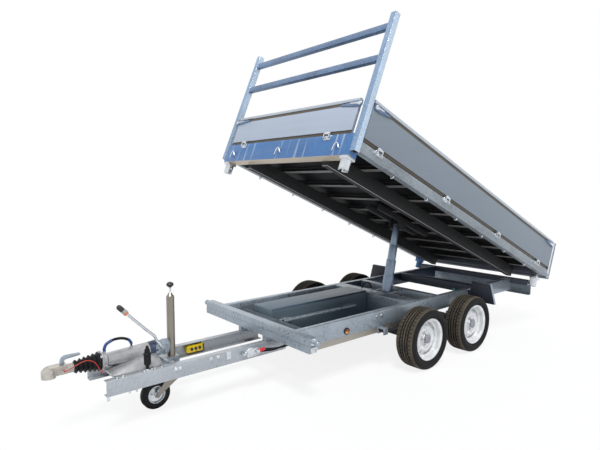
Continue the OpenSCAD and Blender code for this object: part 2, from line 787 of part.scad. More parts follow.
module side_board() {
  block([side_rear, bed_half - board_t, board_low + lip_h], [side_front, bed_half, board_top]);
  block([side_rear, bed_half - board_t, board_low], [side_front, bed_half - lip_inset, board_low + lip_h]);
}
latch_len = 180;
latch_h = 40;
latch_t = 14;
module side_fitting() {
  for (u = side_hinges) translate([u, hinge_v, hinge_w]) knuckle(axis_out + lip_inset, 14);
  for (u = [side_rear + 6, side_front - latch_len - 6])
    block([u, bed_half, board_top - 30 - latch_h], [u + latch_len, bed_half + latch_t, board_top - 30]);
}
module left_board() { color(board_colour) on_bed() side_board(); }
module left_fittings() { color(zinc) on_bed() side_fitting(); }
module right_board() { color(board_colour) on_bed() mirror([0, 1, 0]) side_board(); }
module right_fittings() { color(zinc) on_bed() mirror([0, 1, 0]) side_fitting(); }

front_half = post_in - 42;
module front_board() {
  color(board_colour) on_bed() {
    block([bed_front - board_t, -front_half, front_board_low + lip_h], [bed_front, front_half, board_top]);
    block([bed_front - board_t, -front_half, front_board_low],
          [bed_front - lip_inset, front_half, front_board_low + lip_h]);
  }
}
module front_fittings() {
  color(zinc) on_bed() {
    for (v = front_hinges)
      translate([front_hinge_u, v, front_hinge_w]) rotate([0, 0, -90]) knuckle(axis_out + lip_inset, 14);
    both_sides()
      block([bed_front, front_half - latch_len, board_top - 30 - latch_h], [bed_front + latch_t, front_half + 34, board_top - 30]);
  }
}

module tailgate() {
  color(board_colour) on_bed() block([bed_rear, -bed_half, tail_low], [tail_inner, bed_half, board_top]);
}
module tailgate_fittings() {
  y = bed_half - rear_post_w;
  color(zinc) on_bed() both_sides() difference() {
    union() {
      block([tail_inner, y, tail_axis_w - 12], [tail_axis_u, y + rear_post_w - 16, tail_axis_w + 12]);
      rod_y(y, y + rear_post_w - 16, tail_axis_u, tail_axis_w, 12);
    }
    rod_y(y - 1, y + rear_post_w, tail_axis_u, tail_axis_w, hinge_r + fit);
  }
}

// Tipping cylinder

module along_lift() { place() translate([trunnion_x, 0, trunnion_z]) rotate([0, lift_lean, 0]) children(); }
module sleeve(low, high, outer, inner, floor_low) {
  difference() {
    translate([0, 0, low]) cylinder(h = high - low, r = outer);
    translate([0, 0, floor_low]) cylinder(h = high - floor_low + 1, r = inner);
  }
}

module lift_barrel() {
  color(dark_zinc) along_lift() {
    sleeve(-barrel_depth, barrel_top, barrel_r, stage_1_r + fit, barrel_floor - barrel_depth);
    both_sides() rod_y(barrel_r - 2, trunnion_y + trunnion_plate, 0, 0, trunnion_r);
  }
}
module lift_stage_1() {
  color(zinc) along_lift() sleeve(stage_1_top - stage_len, stage_1_top, stage_1_r, stage_2_r + fit, stage_1_top - stage_len - 1);
}
module lift_stage_2() {
  color(zinc) along_lift() sleeve(stage_2_top - stage_len, stage_2_top, stage_2_r, stage_3_r + fit, stage_2_top - stage_len - 1);
}
module lift_stage_3() {
  color(zinc) along_lift() sleeve(stage_3_top - stage_len, stage_3_top, stage_3_r, rod_r + fit, stage_3_top - stage_len - 1);
}

// The rod's eye is a slot, because the pin drifts a little down it at both ends of the travel
module eye_slot() {
  for (z = [lift_len, lift_len - eye_drift]) rod_y(-rod_r - 1, rod_r + 1, 0, z, pin_r + fit);
  block([-pin_r - fit, -rod_r - 1, lift_len - eye_drift], [pin_r + fit, rod_r + 1, lift_len]);
}
module lift_rod() {
  color(zinc) along_lift() difference() {
    translate([0, 0, lift_len + rod_crown - rod_len]) cylinder(h = rod_len, r = rod_r);
    eye_slot();
  }
}

rails();
cross_beams();
front_beam();
rear_beam();
drawbar_arms();
overrun_housing();
coupling_head();
coupling_handle();
bellows();
handbrake_lever();
breakaway_cable();
lead_plug();
jockey_tube();
pump_tray();
pump_cover();
rods_and_pipes();
hydraulic_valve();
hoses();
pendant();
marker_lamps();
axles();
leaf_springs();
spring_hangers();
mud_flaps();
light_board();
tail_lamps();
jockey_fork();
jockey_tyre();
jockey_rim();
tyre_front_left();
tyre_front_right();
tyre_rear_left();
tyre_rear_right();
rim_front_left();
rim_front_right();
rim_rear_left();
rim_rear_right();
bed_floor();
bed_side_rails();
bed_end_beams();
bed_main_beams();
bed_cross_members();
load_hooks();
tip_cups();
ladder_rack();
lift_bracket();
left_board();
left_fittings();
right_board();
right_fittings();
front_board();
front_fittings();
tailgate();
tailgate_fittings();
lift_barrel();
lift_stage_1();
lift_stage_2();
lift_stage_3();
lift_rod();
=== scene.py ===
"""Finishes and small parts of a tandem-axle tipper trailer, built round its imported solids."""

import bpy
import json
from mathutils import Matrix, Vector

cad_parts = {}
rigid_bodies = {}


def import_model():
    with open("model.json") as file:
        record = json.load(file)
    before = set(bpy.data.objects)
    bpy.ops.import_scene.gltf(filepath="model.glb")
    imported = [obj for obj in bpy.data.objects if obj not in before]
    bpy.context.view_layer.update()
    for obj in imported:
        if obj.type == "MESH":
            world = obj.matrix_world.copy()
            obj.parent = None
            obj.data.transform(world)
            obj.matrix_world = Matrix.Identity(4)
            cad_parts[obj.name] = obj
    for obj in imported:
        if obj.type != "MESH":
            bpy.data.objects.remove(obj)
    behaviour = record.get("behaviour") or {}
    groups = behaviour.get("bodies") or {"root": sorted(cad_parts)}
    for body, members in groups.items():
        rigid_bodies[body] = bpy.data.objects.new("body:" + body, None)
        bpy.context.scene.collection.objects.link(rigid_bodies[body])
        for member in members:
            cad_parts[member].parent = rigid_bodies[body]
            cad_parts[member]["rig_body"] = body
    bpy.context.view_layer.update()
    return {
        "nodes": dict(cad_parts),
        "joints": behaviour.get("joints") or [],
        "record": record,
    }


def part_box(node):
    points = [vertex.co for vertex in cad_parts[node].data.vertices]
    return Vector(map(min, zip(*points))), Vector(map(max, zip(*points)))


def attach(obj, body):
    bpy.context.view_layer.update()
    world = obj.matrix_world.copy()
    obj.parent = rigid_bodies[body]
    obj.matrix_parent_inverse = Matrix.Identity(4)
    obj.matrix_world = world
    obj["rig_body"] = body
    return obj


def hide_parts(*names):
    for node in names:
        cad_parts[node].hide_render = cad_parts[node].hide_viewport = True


bl_info = {
    "name": "Tipper trailer looks",
    "version": (1, 0, 0),
    "blender": (4, 5, 0),
    "location": "3D View > Sidebar > Trailer",
    "description": "Dresses a packed tipper trailer with its finishes and small parts",
    "category": "Object",
}

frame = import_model()

import json
import math

import bmesh
import bpy
from bpy.props import FloatProperty, FloatVectorProperty, IntProperty, PointerProperty
from mathutils import Matrix, Vector

NODES = frame["nodes"]
JOINTS = {j["name"]: j for j in frame["joints"]}
MM = 0.001

# Places that everything is measured from: the middle of the axles, and the tipping line of the bed
AXLE_X = (JOINTS["spin_front_left"]["pos_m"][0] + JOINTS["spin_rear_left"]["pos_m"][0]) / 2
FLOOR_AXIS = next(m for m in frame["record"]["mounts"] if m["name"] == "load_floor")["axis"]
TILT = math.atan2(-FLOOR_AXIS[0], FLOOR_AXIS[2])
CHASSIS = Matrix.Translation((AXLE_X, 0, 0))
BED = Matrix.Translation(JOINTS["bed_tip"]["pos_m"]) @ Matrix.Rotation(-TILT, 4, "Y")
SIDES = (("left", 1), ("right", -1))
WHEELS = [(end, side) for end in ("front", "rear") for side in ("left", "right")]
BED_BODIES = {"bed", "left_side", "right_side", "front_side", "tail_side"}

# Faces and lines that several pieces share, in millimetres of the chassis
ARM_FACE, ARM_TOP = 195, 356
RAIL_TOP, RAIL_MIDDLE, RAIL_FACE = 508, 504, 532
HOUSING_REAR, FLANGE = 2452, 2814
FRONT_GLAND, REAR_GLAND, GLAND_TOP = 2798, 2618, 490
JOCKEY_X, PLUG_X = 2329, 2579
LEVER_Y, LEVER_PIVOT, LEVER_GRIP = 68, (2424, 450), (2673, 736)
BALLS, BALL_LEVEL = (1604, -1615), 481
SPRINGS = [(x, y) for x in (-355, 355) for y in (-568, 568)]

# The same of the bed, from its tipping line
BED_FACE, BOARD_FRONT = 870, 3265
HINGES = (244, 1174.33, 2104.67, 3035)
HINGE_PLATES = (244, 1174, 2105, 3035)
HINGE_OUT, HINGE_UP = 884, 203
LATCH_LOW, LATCH_ENDS = 446, (3023, 137)
GROOVE_LOW, BEAD_LOW = 463.5, 489.5

# Sockets of a colour mix node
MIX_FIRST, MIX_SECOND, MIX_OUT = 6, 7, 2


def colour_prop(name, default, description):
    """A colour that the user can set."""
    return FloatVectorProperty(
        name=name, description=description, default=default, size=3, min=0, max=1, subtype="COLOR"
    )


def length_prop(name, default, description):
    """A length in metres that the user can set."""
    return FloatProperty(name=name, description=description, default=default, min=0, unit="LENGTH")


class TrailerColours(bpy.types.PropertyGroup):
    """Colours of the trailer's finishes"""

    zinc: colour_prop("Galvanised", (0.305, 0.352, 0.395), "Hot-dip galvanised chassis steel")
    # Painted sky reflection: the blue of the front plate stands in for the sky that the zinc reflects
    zinc_sky: colour_prop("Bright sheet", (0.075, 0.185, 0.40), "Bluish galvanised front plate")
    # Painted shade: the dark zinc under the bed, on the running gear and inside the posts
    underside_painted_shade: colour_prop("Underside", (0.036, 0.036, 0.036), "Dull zinc below the load floor")
    # Bright zinc is also the painted highlight on the rounded corners of the posts
    bright: colour_prop("Bright zinc", (0.66, 0.69, 0.72), "Plated hinges, latches and cups")
    side_panel: colour_prop("Side boards", (0.218, 0.258, 0.300), "Anodised side boards")
    front_panel: colour_prop("Front board", (0.42, 0.48, 0.57), "Anodised front board")
    trim: colour_prop("Board trim", (0.47, 0.52, 0.58), "Top profile of the boards")
    trim_line: colour_prop("Board seam", (0.098, 0.084, 0.066), "Dark line below the top profile")
    tray: colour_prop("Pump cover", (0.135, 0.180, 0.215), "Blue-grey sheet of the tray and cover")
    wheel: colour_prop("Wheels", (0.76, 0.77, 0.78), "Silver wheel paint")
    rubber: colour_prop("Tyre rubber", (0.013, 0.013, 0.013), "Side walls of the tyres")
    dust: colour_prop("Tread dust", (0.052, 0.042, 0.029), "Dust on the tread")
    cast: colour_prop("Coupling", (0.52, 0.49, 0.44), "Bare cast coupling head")
    jockey: colour_prop("Jockey tube", (0.27, 0.245, 0.21), "Stainless jockey tube")
    lift: colour_prop("Cylinder", (0.20, 0.255, 0.335), "Ground steel stages")


class TrailerSizes(bpy.types.PropertyGroup):
    """Small sizes of the trailer's details"""

    tread_depth: length_prop("Tread depth", 0.0065, "Depth of the grooves round a tyre")
    bolt: length_prop("Bolt head", 0.017, "Width across the flats of a chassis bolt")
    rivet: length_prop("Rivet head", 0.009, "Diameter of a rivet in the tray")
    tread_steps: IntProperty(name="Tread steps", description="Steps round a tyre", default=240, min=48)


# Finishes


class Wire:
    """A socket of a finish that takes part in sums."""

    def __init__(self, finish, socket):
        self.finish, self.socket = finish, socket

    def _sum(self, operation, first, second):
        return self.finish.node("ShaderNodeMath", {"operation": operation}, {0: first, 1: second})

    def __add__(self, other):
        return self._sum("ADD", self, other)

    def __radd__(self, other):
        return self._sum("ADD", other, self)

    def __sub__(self, other):
        return self._sum("SUBTRACT", self, other)

    def __mul__(self, other):
        return self._sum("MULTIPLY", self, other)

    def __rmul__(self, other):
        return self._sum("MULTIPLY", other, self)


class Tree:
    """A node tree that is put together node by node."""

    def __init__(self, tree):
        self.tree = tree

    def node(self, kind, settings=None, sockets=None, out=0):
        made = self.tree.nodes.new(kind)
        for key, value in (settings or {}).items():
            if key == "stops":
                for stop, (at, shade) in zip(made.color_ramp.elements, value):
                    stop.position, stop.color = at, (shade, shade, shade, 1)
            else:
                setattr(made, key, value)
        for key, value in (sockets or {}).items():
            if isinstance(value, Wire):
                self.tree.links.new(value.socket, made.inputs[key])
            else:
                made.inputs[key].default_value = value
        return Wire(self, made.outputs[out])

    def mix(self, share, first, second):
        ends = [c if isinstance(c, Wire) else (*c, 1) for c in (first, second)]
        sockets = {0: share, MIX_FIRST: ends[0], MIX_SECOND: ends[1]}
        return self.node("ShaderNodeMix", {"data_type": "RGBA"}, sockets, MIX_OUT)

    def into(self, node, socket, wire):
        self.tree.links.new(wire.socket, self.tree.nodes[node].inputs[socket])


class Finish(Tree):
    """A procedural material."""

    def __init__(self, name, **constants):
        self.material = bpy.data.materials.new(name)
        self.material.use_nodes = True
        super().__init__(self.material.node_tree)
        self.shader = self.tree.nodes["Principled BSDF"]
        for label, value in constants.items():
            self.shader.inputs[label.replace("_", " ").title()].default_value = value
        self.place = self.node("ShaderNodeTexCoord", out="Object")

    def spread(self, stretch, turn=(0, 0, 0)):
        return self.node("ShaderNodeMapping", {}, {"Vector": self.place, "Scale": stretch, "Rotation": turn})

    def noise(self, scale, detail=3.0, stretch=None, turn=(0, 0, 0)):
        where = self.spread(stretch, turn) if stretch else self.place
        return self.node("ShaderNodeTexNoise", {}, {"Vector": where, "Scale": scale, "Detail": detail})

    def cells(self, scale):
        cell = self.node("ShaderNodeTexVoronoi", {}, {"Vector": self.place, "Scale": scale}, "Color")
        return self.node("ShaderNodeSeparateColor", {}, {"Color": cell})

    def steps(self, value, low, high):
        return self.node("ShaderNodeValToRGB", {"stops": ((low, 0.0), (high, 1.0))}, {"Fac": value})

    def feed(self, socket, wire):
        self.into("Principled BSDF", socket, wire)

    def bump(self, height, distance, strength=0.6):
        self.feed("Normal", self.node(
            "ShaderNodeBump", {}, {"Height": height, "Distance": distance, "Strength": strength}))


def shade(colour, share):
    """A colour made darker, or lighter where share is over 1."""
    return tuple(min(1.0, c * share) for c in colour)


def galvanised(name, colour, metallic=0.55, rough=0.42, contrast=1.0, streak=None):
    """Zinc coat with its spangle, cloudy patches and, on rolled sheet, pale run marks."""
    f = Finish(name, metallic=metallic)
    spangle, cloud, grain = f.cells(85.0), f.noise(4.0, 5.0), f.noise(240.0, 2.0)
    share = 0.5 + contrast * ((spangle - 0.5) * 0.30 + (cloud - 0.5) * 0.80 + (grain - 0.5) * 0.25)
    paint = f.mix(share, shade(colour, 0.70), shade(colour, 1.32))
    if streak:
        runs = f.steps(f.noise(3.2, 2.0, streak), 0.60, 0.74)
        paint = f.mix(runs * 0.55, paint, (0.78, 0.83, 0.9))
    f.feed("Base Color", paint)
    f.feed("Roughness", rough + (spangle - 0.5) * 0.22 + (cloud - 0.5) * 0.2)
    f.bump(spangle * 0.4 + grain * 0.35 + cloud, 0.0005)
    return f.material


def plated(name, colour, metallic=0.85, rough=0.24):
    """Bright zinc plate with handling marks."""
    f = Finish(name, metallic=metallic)
    cloud, grain = f.noise(22.0, 4.0), f.noise(400.0, 2.0)
    f.feed("Base Color", f.mix(cloud + (grain - 0.5) * 0.3, shade(colour, 0.6), shade(colour, 1.3)))
    f.feed("Roughness", rough + (cloud - 0.5) * 0.3)
    f.bump(grain + cloud, 0.0003)
    return f.material


def brushed(name, colour, along, metallic=0.5, rough=0.42, contrast=0.35):
    """Rolled or anodised sheet with fine lines along its length and faint cloudy tone."""
    f = Finish(name, metallic=metallic)
    lines = f.noise(60.0, 3.0, along, (0, TILT, 0))
    cloud = f.noise(1.6, 3.0)
    share = 0.5 + (lines - 0.5) * contrast + (cloud - 0.5) * contrast
    f.feed("Base Color", f.mix(share, shade(colour, 0.8), shade(colour, 1.2)))
    f.feed("Roughness", rough + (lines - 0.5) * 0.2)
    f.bump(lines, 0.0002)
    return f.material


def moulded(name, colour, rough=0.5, grain_scale=260.0, dust=None):
    """Rubber or plastic with a fine moulded grain and, outdoors, some dust."""
    f = Finish(name)
    grain, cloud = f.noise(grain_scale, 3.0), f.noise(9.0, 4.0)
    paint = f.mix(cloud, shade(colour, 0.7), shade(colour, 1.35))
    if dust:
        paint = f.mix(f.steps(cloud + (grain - 0.5) * 0.4, 0.42, 0.78) * 0.8, paint, dust)
    f.feed("Base Color", paint)
    f.feed("Roughness", rough + (grain - 0.5) * 0.25 + (cloud - 0.5) * 0.15)
    f.bump(grain, 0.0004)
    return f.material


def lens(name, colour):
    """Moulded lens with its prisms under a clear coat."""
    f = Finish(name, coat_weight=0.6)
    prisms = f.cells(420.0)
    f.feed("Base Color", f.mix(prisms, shade(colour, 0.6), shade(colour, 1.5)))
    f.feed("Roughness", 0.12 + prisms * 0.1)
    f.bump(prisms, 0.0006)
    return f.material


FINISHES = {}
DULL_SPECULAR = 0.12


def make_finishes(c):
    """Every finish of the trailer, by the name of what wears it."""
    FINISHES.update({
        "zinc": galvanised("galvanised_steel", c.zinc, 0.5, 0.38, 1.3),
        # Painted sky reflection: blue of the front plate
        "zinc_sky": galvanised("galvanised_front_plate", c.zinc_sky, 0.3, 0.42, 0.9, (0.4, 6.0, 0.4)),
        # Painted sky reflection: blue of the rungs and the latch straps
        "zinc_rung": galvanised("galvanised_rungs", (0.135, 0.205, 0.325), 0.35, 0.38, 2.0),
        # Painted sky reflection: blue of the posts' forward faces
        "zinc_face": galvanised("galvanised_post_face", (0.24, 0.35, 0.50), 0.35, 0.38, 1.4),
        "zinc_arm": galvanised("galvanised_drawbar", (0.42, 0.445, 0.47), 0.55, 0.40, 0.8),
        "tray_in": galvanised("galvanised_tray", (0.205, 0.24, 0.27), 0.5, 0.42, 1.2),
        # Painted light: the posts' other faces, a paler blue than their forward faces
        "zinc_post": galvanised("galvanised_posts", (0.50, 0.61, 0.74), 0.5, 0.36, 0.9),
        "zinc_rail": galvanised("galvanised_side_rail", (0.245, 0.275, 0.300), 0.4, 0.42, 1.9),
        # Painted shade: dark navy of the far rail's inner face
        "zinc_navy": galvanised("galvanised_far_side", (0.045, 0.066, 0.105), 0.3, 0.45, 0.8),
        # Painted shade: dark blue-grey of the rear beams, rear cross beams and cylinder barrel
        "zinc_dull": galvanised("galvanised_rear_beam", (0.068, 0.083, 0.104), 0.35, 0.5, 1.0),
        "housing": plated("overrun_housing_grey", (0.40, 0.405, 0.412), 0.6, 0.36),
        "housing_rear": plated("overrun_housing_rear", (0.035, 0.055, 0.10), 0.4, 0.4),
        # Painted ground reflection: tan of the end beams' down-facing faces
        "zinc_tan": galvanised("galvanised_underside", (0.53, 0.455, 0.36), 0.2, 0.55, 0.8),
        # Painted shade: dark zinc under the bed, on the running gear and inside the posts
        "shade": galvanised("shaded_zinc", c.underside_painted_shade, 0.2, 0.6, 0.8),
        # Painted sheen: mid-tone on the underside of the cross members' lower flanges
        "shade_mid": galvanised("shaded_zinc_flange", (0.15, 0.147, 0.142), 0.3, 0.5),
        # Painted highlight on the lower edges of the main beams and cross members; plain grey on the rods and the lever
        # grip
        "shade_edge": galvanised("shaded_zinc_edge", (0.42, 0.405, 0.38), 0.4, 0.5),
        "underfloor": moulded("coated_floor_board", (0.005, 0.005, 0.0055), 0.6, 120.0),
        # Plated zinc; also the painted highlight on the posts' rounded corners
        "bright": plated("bright_zinc", c.bright),
        "side_panel": brushed("anodised_side_board", c.side_panel, (0.02, 1.0, 1.0), 0.35, 0.5),
        "front_panel": brushed("anodised_front_board", c.front_panel, (1.0, 0.02, 1.0), 0.35, 0.5),
        # Painted shade: dark brown recessed lower lip of the side boards, standing in for the shade of the gap above
        # the rail
        "panel_lip": brushed("board_lower_lip", (0.105, 0.088, 0.066), (0.05, 0.05, 1.0), 0.35, 0.5),
        "trim": brushed("board_top_profile", c.trim, (0.05, 0.05, 1.0), 0.6, 0.36),
        "seam": moulded("board_seam", c.trim_line, 0.6),
        "tray": brushed("pump_cover_sheet", c.tray, (0.05, 1.0, 1.0), 0.35, 0.42, 0.5),
        # Painted sky reflection: blue-grey top of the pump cover
        "tray_top": brushed("pump_cover_top", (0.06, 0.098, 0.136), (0.05, 1.0, 1.0), 0.35, 0.4, 0.4),
        # Painted light: tan of the tray's outer sides, lightened to make up for the shadow under the rail
        "tray_side": brushed("tray_side_sheet", (0.50, 0.46, 0.40), (0.05, 1.0, 1.0), 0.15, 0.55, 0.4),
        "wheel": plated("wheel_silver", c.wheel, 0.45, 0.34),
        "hub": plated("wheel_hub", (0.30, 0.31, 0.33), 0.8, 0.3),
        "flap": moulded("mud_flap_panel", (0.014, 0.018, 0.028), 0.55, 140.0),
        "sidewall": moulded("tyre_side_wall", c.rubber, 0.62, 180.0),
        "tread": moulded("tyre_tread", c.dust, 0.85, 120.0, shade(c.dust, 1.9)),
        "rubber": moulded("black_rubber", (0.014, 0.014, 0.015), 0.42),
        "cast": plated("cast_coupling", c.cast, 0.75, 0.4),
        "jockey": brushed("stainless_tube", c.jockey, (1.0, 1.0, 0.02), 0.85, 0.33, 0.6),
        "lift": brushed("ground_cylinder_steel", c.lift, (1.0, 1.0, 0.03), 0.8, 0.3, 0.5),
        "red_cable": moulded("red_cable", (0.45, 0.02, 0.015), 0.4),
        "blue_sleeve": moulded("blue_sleeve", (0.012, 0.055, 0.19), 0.45),
        "yellow": moulded("yellow_case", (0.80, 0.53, 0.01), 0.45),
        "red": moulded("red_grip", (0.62, 0.015, 0.03), 0.4),
        "band": moulded("orange_band", (0.72, 0.20, 0.10), 0.5),
        "grip": moulded("black_grip", (0.02, 0.021, 0.023), 0.5),
        "amber": lens("amber_lens", (0.88, 0.33, 0.015)),
        "red_lens": lens("red_lens", (0.42, 0.01, 0.01)),
        "dark_lens": lens("dark_red_lens", (0.16, 0.012, 0.012)),
        "clear": lens("clear_lens", (0.62, 0.66, 0.7)),
        "teal": moulded("teal_plug", (0.02, 0.46, 0.40), 0.4),
    })
    for name in ("underfloor", "shade", "sidewall", "rubber"):
        shader = FINISHES[name].node_tree.nodes["Principled BSDF"]
        shader.inputs["Specular IOR Level"].default_value = DULL_SPECULAR


# Mesh helpers


def edges_of(verts):
    """The edges that meet at some corners, each once and always in the same order."""
    return list(dict.fromkeys(e for v in verts for e in v.link_edges))


def round_edges(bm, edges, radius, segments=2, **settings):
    """Rounds edges to a radius in millimetres."""
    bmesh.ops.bevel(
        bm, geom=edges, offset=radius * MM, affect="EDGES", segments=segments, profile=0.5, material=-1, **settings
    )


def box(bm, low, high, bevel=0.0, segments=2):
    """A block between two corners, in millimetres, with rounded edges."""
    made = bmesh.ops.create_cube(bm, size=1.0)["verts"]
    low, high = Vector(low) * MM, Vector(high) * MM
    bmesh.ops.scale(bm, verts=made, vec=high - low)
    bmesh.ops.translate(bm, verts=made, vec=(low + high) / 2)
    if bevel:
        round_edges(bm, edges_of(made), bevel, segments)


def rod(bm, start, end, radius, sides=20, bevel=0.0, tip=None):
    """A round bar, or a cone where tip is given, between two points, in millimetres."""
    start, end = Vector(start) * MM, Vector(end) * MM
    way = end - start
    turn = way.to_track_quat("Z", "Y").to_matrix().to_4x4()
    at = Matrix.Translation((start + end) / 2) @ turn
    far = radius if tip is None else tip
    made = bmesh.ops.create_cone(
        bm, cap_ends=True, segments=sides, radius1=radius * MM, radius2=far * MM, depth=way.length, matrix=at
    )["verts"]
    if bevel:
        rims = [e for e in edges_of(made) if len(e.link_faces) == 2 and e.calc_face_angle() > 0.8]
        if sides == 6:
            rims = [e for e in rims if any(len(f.verts) == 6 for f in e.link_faces)]
        round_edges(bm, rims, bevel)


def bolt(bm, at, way, size=17.0, washer=True):
    """A hexagon head on its washer, standing on a face."""
    at, way = Vector(at), Vector(way).normalized()
    if washer:
        rod(bm, at, at + way * 2.0, size * 0.86, 20)
    rod(bm, at + way * 1.0, at + way * (2.0 + size * 0.55), size * 0.58, 6, size * 0.06)


def lathe(bm, outline, steps, axis="Z"):
    """A closed outline of radius and height, in millimetres, spun about its axis."""
    made = [bm.verts.new((r * MM, 0, z * MM)) for r, z in outline]
    edges = [bm.edges.new((a, b)) for a, b in zip(made, made[1:] + made[:1])]
    bmesh.ops.spin(
        bm, geom=made + edges, cent=(0, 0, 0), axis=(0, 0, 1), angle=math.tau, steps=steps, use_merge=True
    )
    bmesh.ops.remove_doubles(bm, verts=bm.verts, dist=1e-6)
    bmesh.ops.recalc_face_normals(bm, faces=bm.faces)


def prism(bm, outline, along, start, end):
    """A flat outline, in millimetres, pulled along X from y and z, or along Y from x and z."""
    def row(s):
        return [bm.verts.new(Vector((s, a, b) if along == "X" else (a, s, b)) * MM) for a, b in outline]

    near, far = row(start), row(end)
    bm.faces.new(near)
    bm.faces.new(far)
    for i in range(len(outline)):
        bm.faces.new((near[i], near[i - 1], far[i - 1], far[i]))


def arc(middle, radius, first, last, steps=6):
    """Points of an arc, between two angles in degrees."""
    turns = [math.radians(first + (last - first) * i / steps) for i in range(steps + 1)]
    return [(middle[0] + radius * math.cos(a), middle[1] + radius * math.sin(a)) for a in turns]


def rounded(left, low, wide, high, radius):
    """A rectangle with round corners, from its lower left corner."""
    points = []
    for i, (x, y) in enumerate(((wide, high), (0, high), (0, 0), (wide, 0))):
        middle = (left + (radius if x == 0 else wide - radius), low + (radius if y == 0 else high - radius))
        points += arc(middle, radius, 90 * i, 90 * i + 90, 5)
    return points


def added(bm, matrix, make, *values):
    """Adds a shape to a mesh and moves it to its place."""
    old = set(bm.verts)
    make(bm, *values)
    bmesh.ops.transform(bm, matrix=matrix, verts=[v for v in bm.verts if v not in old])


def moved(x, y, z, *turns):
    """A place in millimetres, after turns given as degrees and axis."""
    place = Matrix.Translation(Vector((x, y, z)) * MM)
    for angle, axis in turns:
        place = place @ Matrix.Rotation(math.radians(angle), 4, axis)
    return place


def open_ends(bm, place, test, wall, depth):
    """Sinks the end faces of a closed bar, so that it reads as the hollow section it is."""
    back = place.inverted()
    ends = [f for f in bm.faces if test(back @ f.calc_center_median() / MM, back.to_3x3() @ f.normal)]
    for end in ends:
        bmesh.ops.inset_region(bm, faces=[end], thickness=wall * MM, use_even_offset=True)
        bmesh.ops.inset_region(bm, faces=[end], thickness=0.0, depth=-depth * MM)


def cut_plane(bm, at, normal, clear=False):
    """Cuts a mesh by a plane, clearing what lies beyond it if asked, and gives back what the cut made."""
    geom = [*bm.verts, *bm.edges, *bm.faces]
    return bmesh.ops.bisect_plane(bm, geom=geom, plane_co=at, plane_no=normal, clear_outer=clear)["geom_cut"]


def piece(name, bm, finish, body, replaces=(), place=None, smooth=35.0):
    """Turns a bmesh into a finished piece that rides on a body."""
    if place is not None:
        bmesh.ops.transform(bm, matrix=place, verts=bm.verts)
    mesh = bpy.data.meshes.new(name)
    bm.to_mesh(mesh)
    bm.free()
    for finish_name in (finish,) if isinstance(finish, str) else finish:
        mesh.materials.append(FINISHES[finish_name])
    mesh.shade_smooth()
    mesh.set_sharp_from_angle(angle=math.radians(smooth))
    made = bpy.data.objects.new(name, mesh)
    bpy.context.scene.collection.objects.link(made)
    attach(made, body)
    if replaces:
        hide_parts(*replaces)
    return made


def fitting(name, bm, finish="bright", place=CHASSIS, body="chassis"):
    """A small piece that is fixed to a body."""
    return piece(name, bm, finish, body, (), place)


def body_of(node):
    """The body that a CAD node rides on."""
    return NODES[node]["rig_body"]


def sort_faces(bm, zone, place):
    """Gives each face the finish that its zone names, from its middle in millimetres and its normal."""
    back = place.inverted()
    for f in bm.faces:
        f.material_index = zone(back @ f.calc_center_median() / MM, back.to_3x3() @ f.normal)


# Places along a solid, in millimetres forward, where its finish changes; on the rails, where the far side's painted
# shade begins
HOUSING_CUT, RAIL_CUT = 2505.0, 232.0
CUTS = {"overrun_housing": HOUSING_CUT, "rails": RAIL_CUT}


def dressed(node, finish, bevel, smooth=35.0, zone=None, place=None):
    """A copy of a CAD solid with its sharp edges rounded, in place of the plain one."""
    place = place or (BED if body_of(node) in BED_BODIES else CHASSIS)
    zone = zone or ZONES.get(node)
    bm = bmesh.new()
    if node not in FORMS or node in FORMS_ON_SOLID:
        bm.from_mesh(NODES[node].data)
        bmesh.ops.transform(bm, matrix=place.inverted(), verts=bm.verts)
    bmesh.ops.remove_doubles(bm, verts=bm.verts, dist=2e-5)
    if node in FORMS:
        FORMS[node](bm)
        bmesh.ops.recalc_face_normals(bm, faces=bm.faces)
    bmesh.ops.transform(bm, matrix=place, verts=bm.verts)
    bmesh.ops.dissolve_limit(
        bm, angle_limit=math.radians(0.4), use_dissolve_boundaries=False, verts=bm.verts, edges=bm.edges
    )
    if bevel:
        sharp = [e for e in bm.edges if len(e.link_faces) == 2 and e.calc_face_angle(0.0) > math.radians(40)]
        round_edges(bm, sharp, bevel, clamp_overlap=True)
    if node in OPEN_ENDS:
        open_ends(bm, place, *OPEN_ENDS[node])
    if node in CUTS:
        cut_plane(bm, place @ Vector((CUTS[node] * MM, 0, 0)), (1, 0, 0))
    if zone:
        sort_faces(bm, zone, place)
    return piece(node + "_finished", bm, finish, body_of(node), (node,), None, smooth)


# Forms of pieces that their plain solids give in outline only, in millimetres of the chassis or the bed


def board_line(low, lip, bead):
    """A board's outline from its inner face outward: hinge lip, flat face, groove and rounded top bead."""
    line = [(0, low), (25 - lip, low), (25 - lip, low + 22), (25, low + 22), (25, 464), (21, 466), (21, 488), (25, 490)]
    line += [(25 + bead, 494), *arc((17 + bead, 508), 8, 0, 90, 4)] if bead else [(25, 516)]
    return line + [(3, 516), (0, 513)]


def side_board(bm, side):
    prism(bm, [((845 + a) * side, b) for a, b in board_line(197, 8, 5)], "X", -49, 3209)


def front_board(bm):
    prism(bm, [(3240 + a, b) for a, b in board_line(240, 8, 5)], "Y", -778, 778)


def tailgate(bm):
    prism(bm, [(-101 - a, b) for a, b in board_line(97, 0, 0)], "Y", -870, 870)


def latch(bm, length):
    """A strap that widens towards the post, with the round boss of its catch."""
    prism(bm, [(0, 20), (0, 30), (length * 0.6, 40), (length, 40), (length, 0), (length * 0.7, 0)], "Y", 0, 8)
    rod(bm, (length - 20, 7, 20), (length - 20, 14, 20), 16, 28, 1.0)
    prism(bm, [(length * 0.45, 23), (length * 0.45, 31), (length - 20, 30), (length - 20, 12)], "Y", 7, 12)


def without_latches(bm):
    bmesh.ops.delete(bm, geom=[v for v in bm.verts if v.co.z > 0.4], context="VERTS")


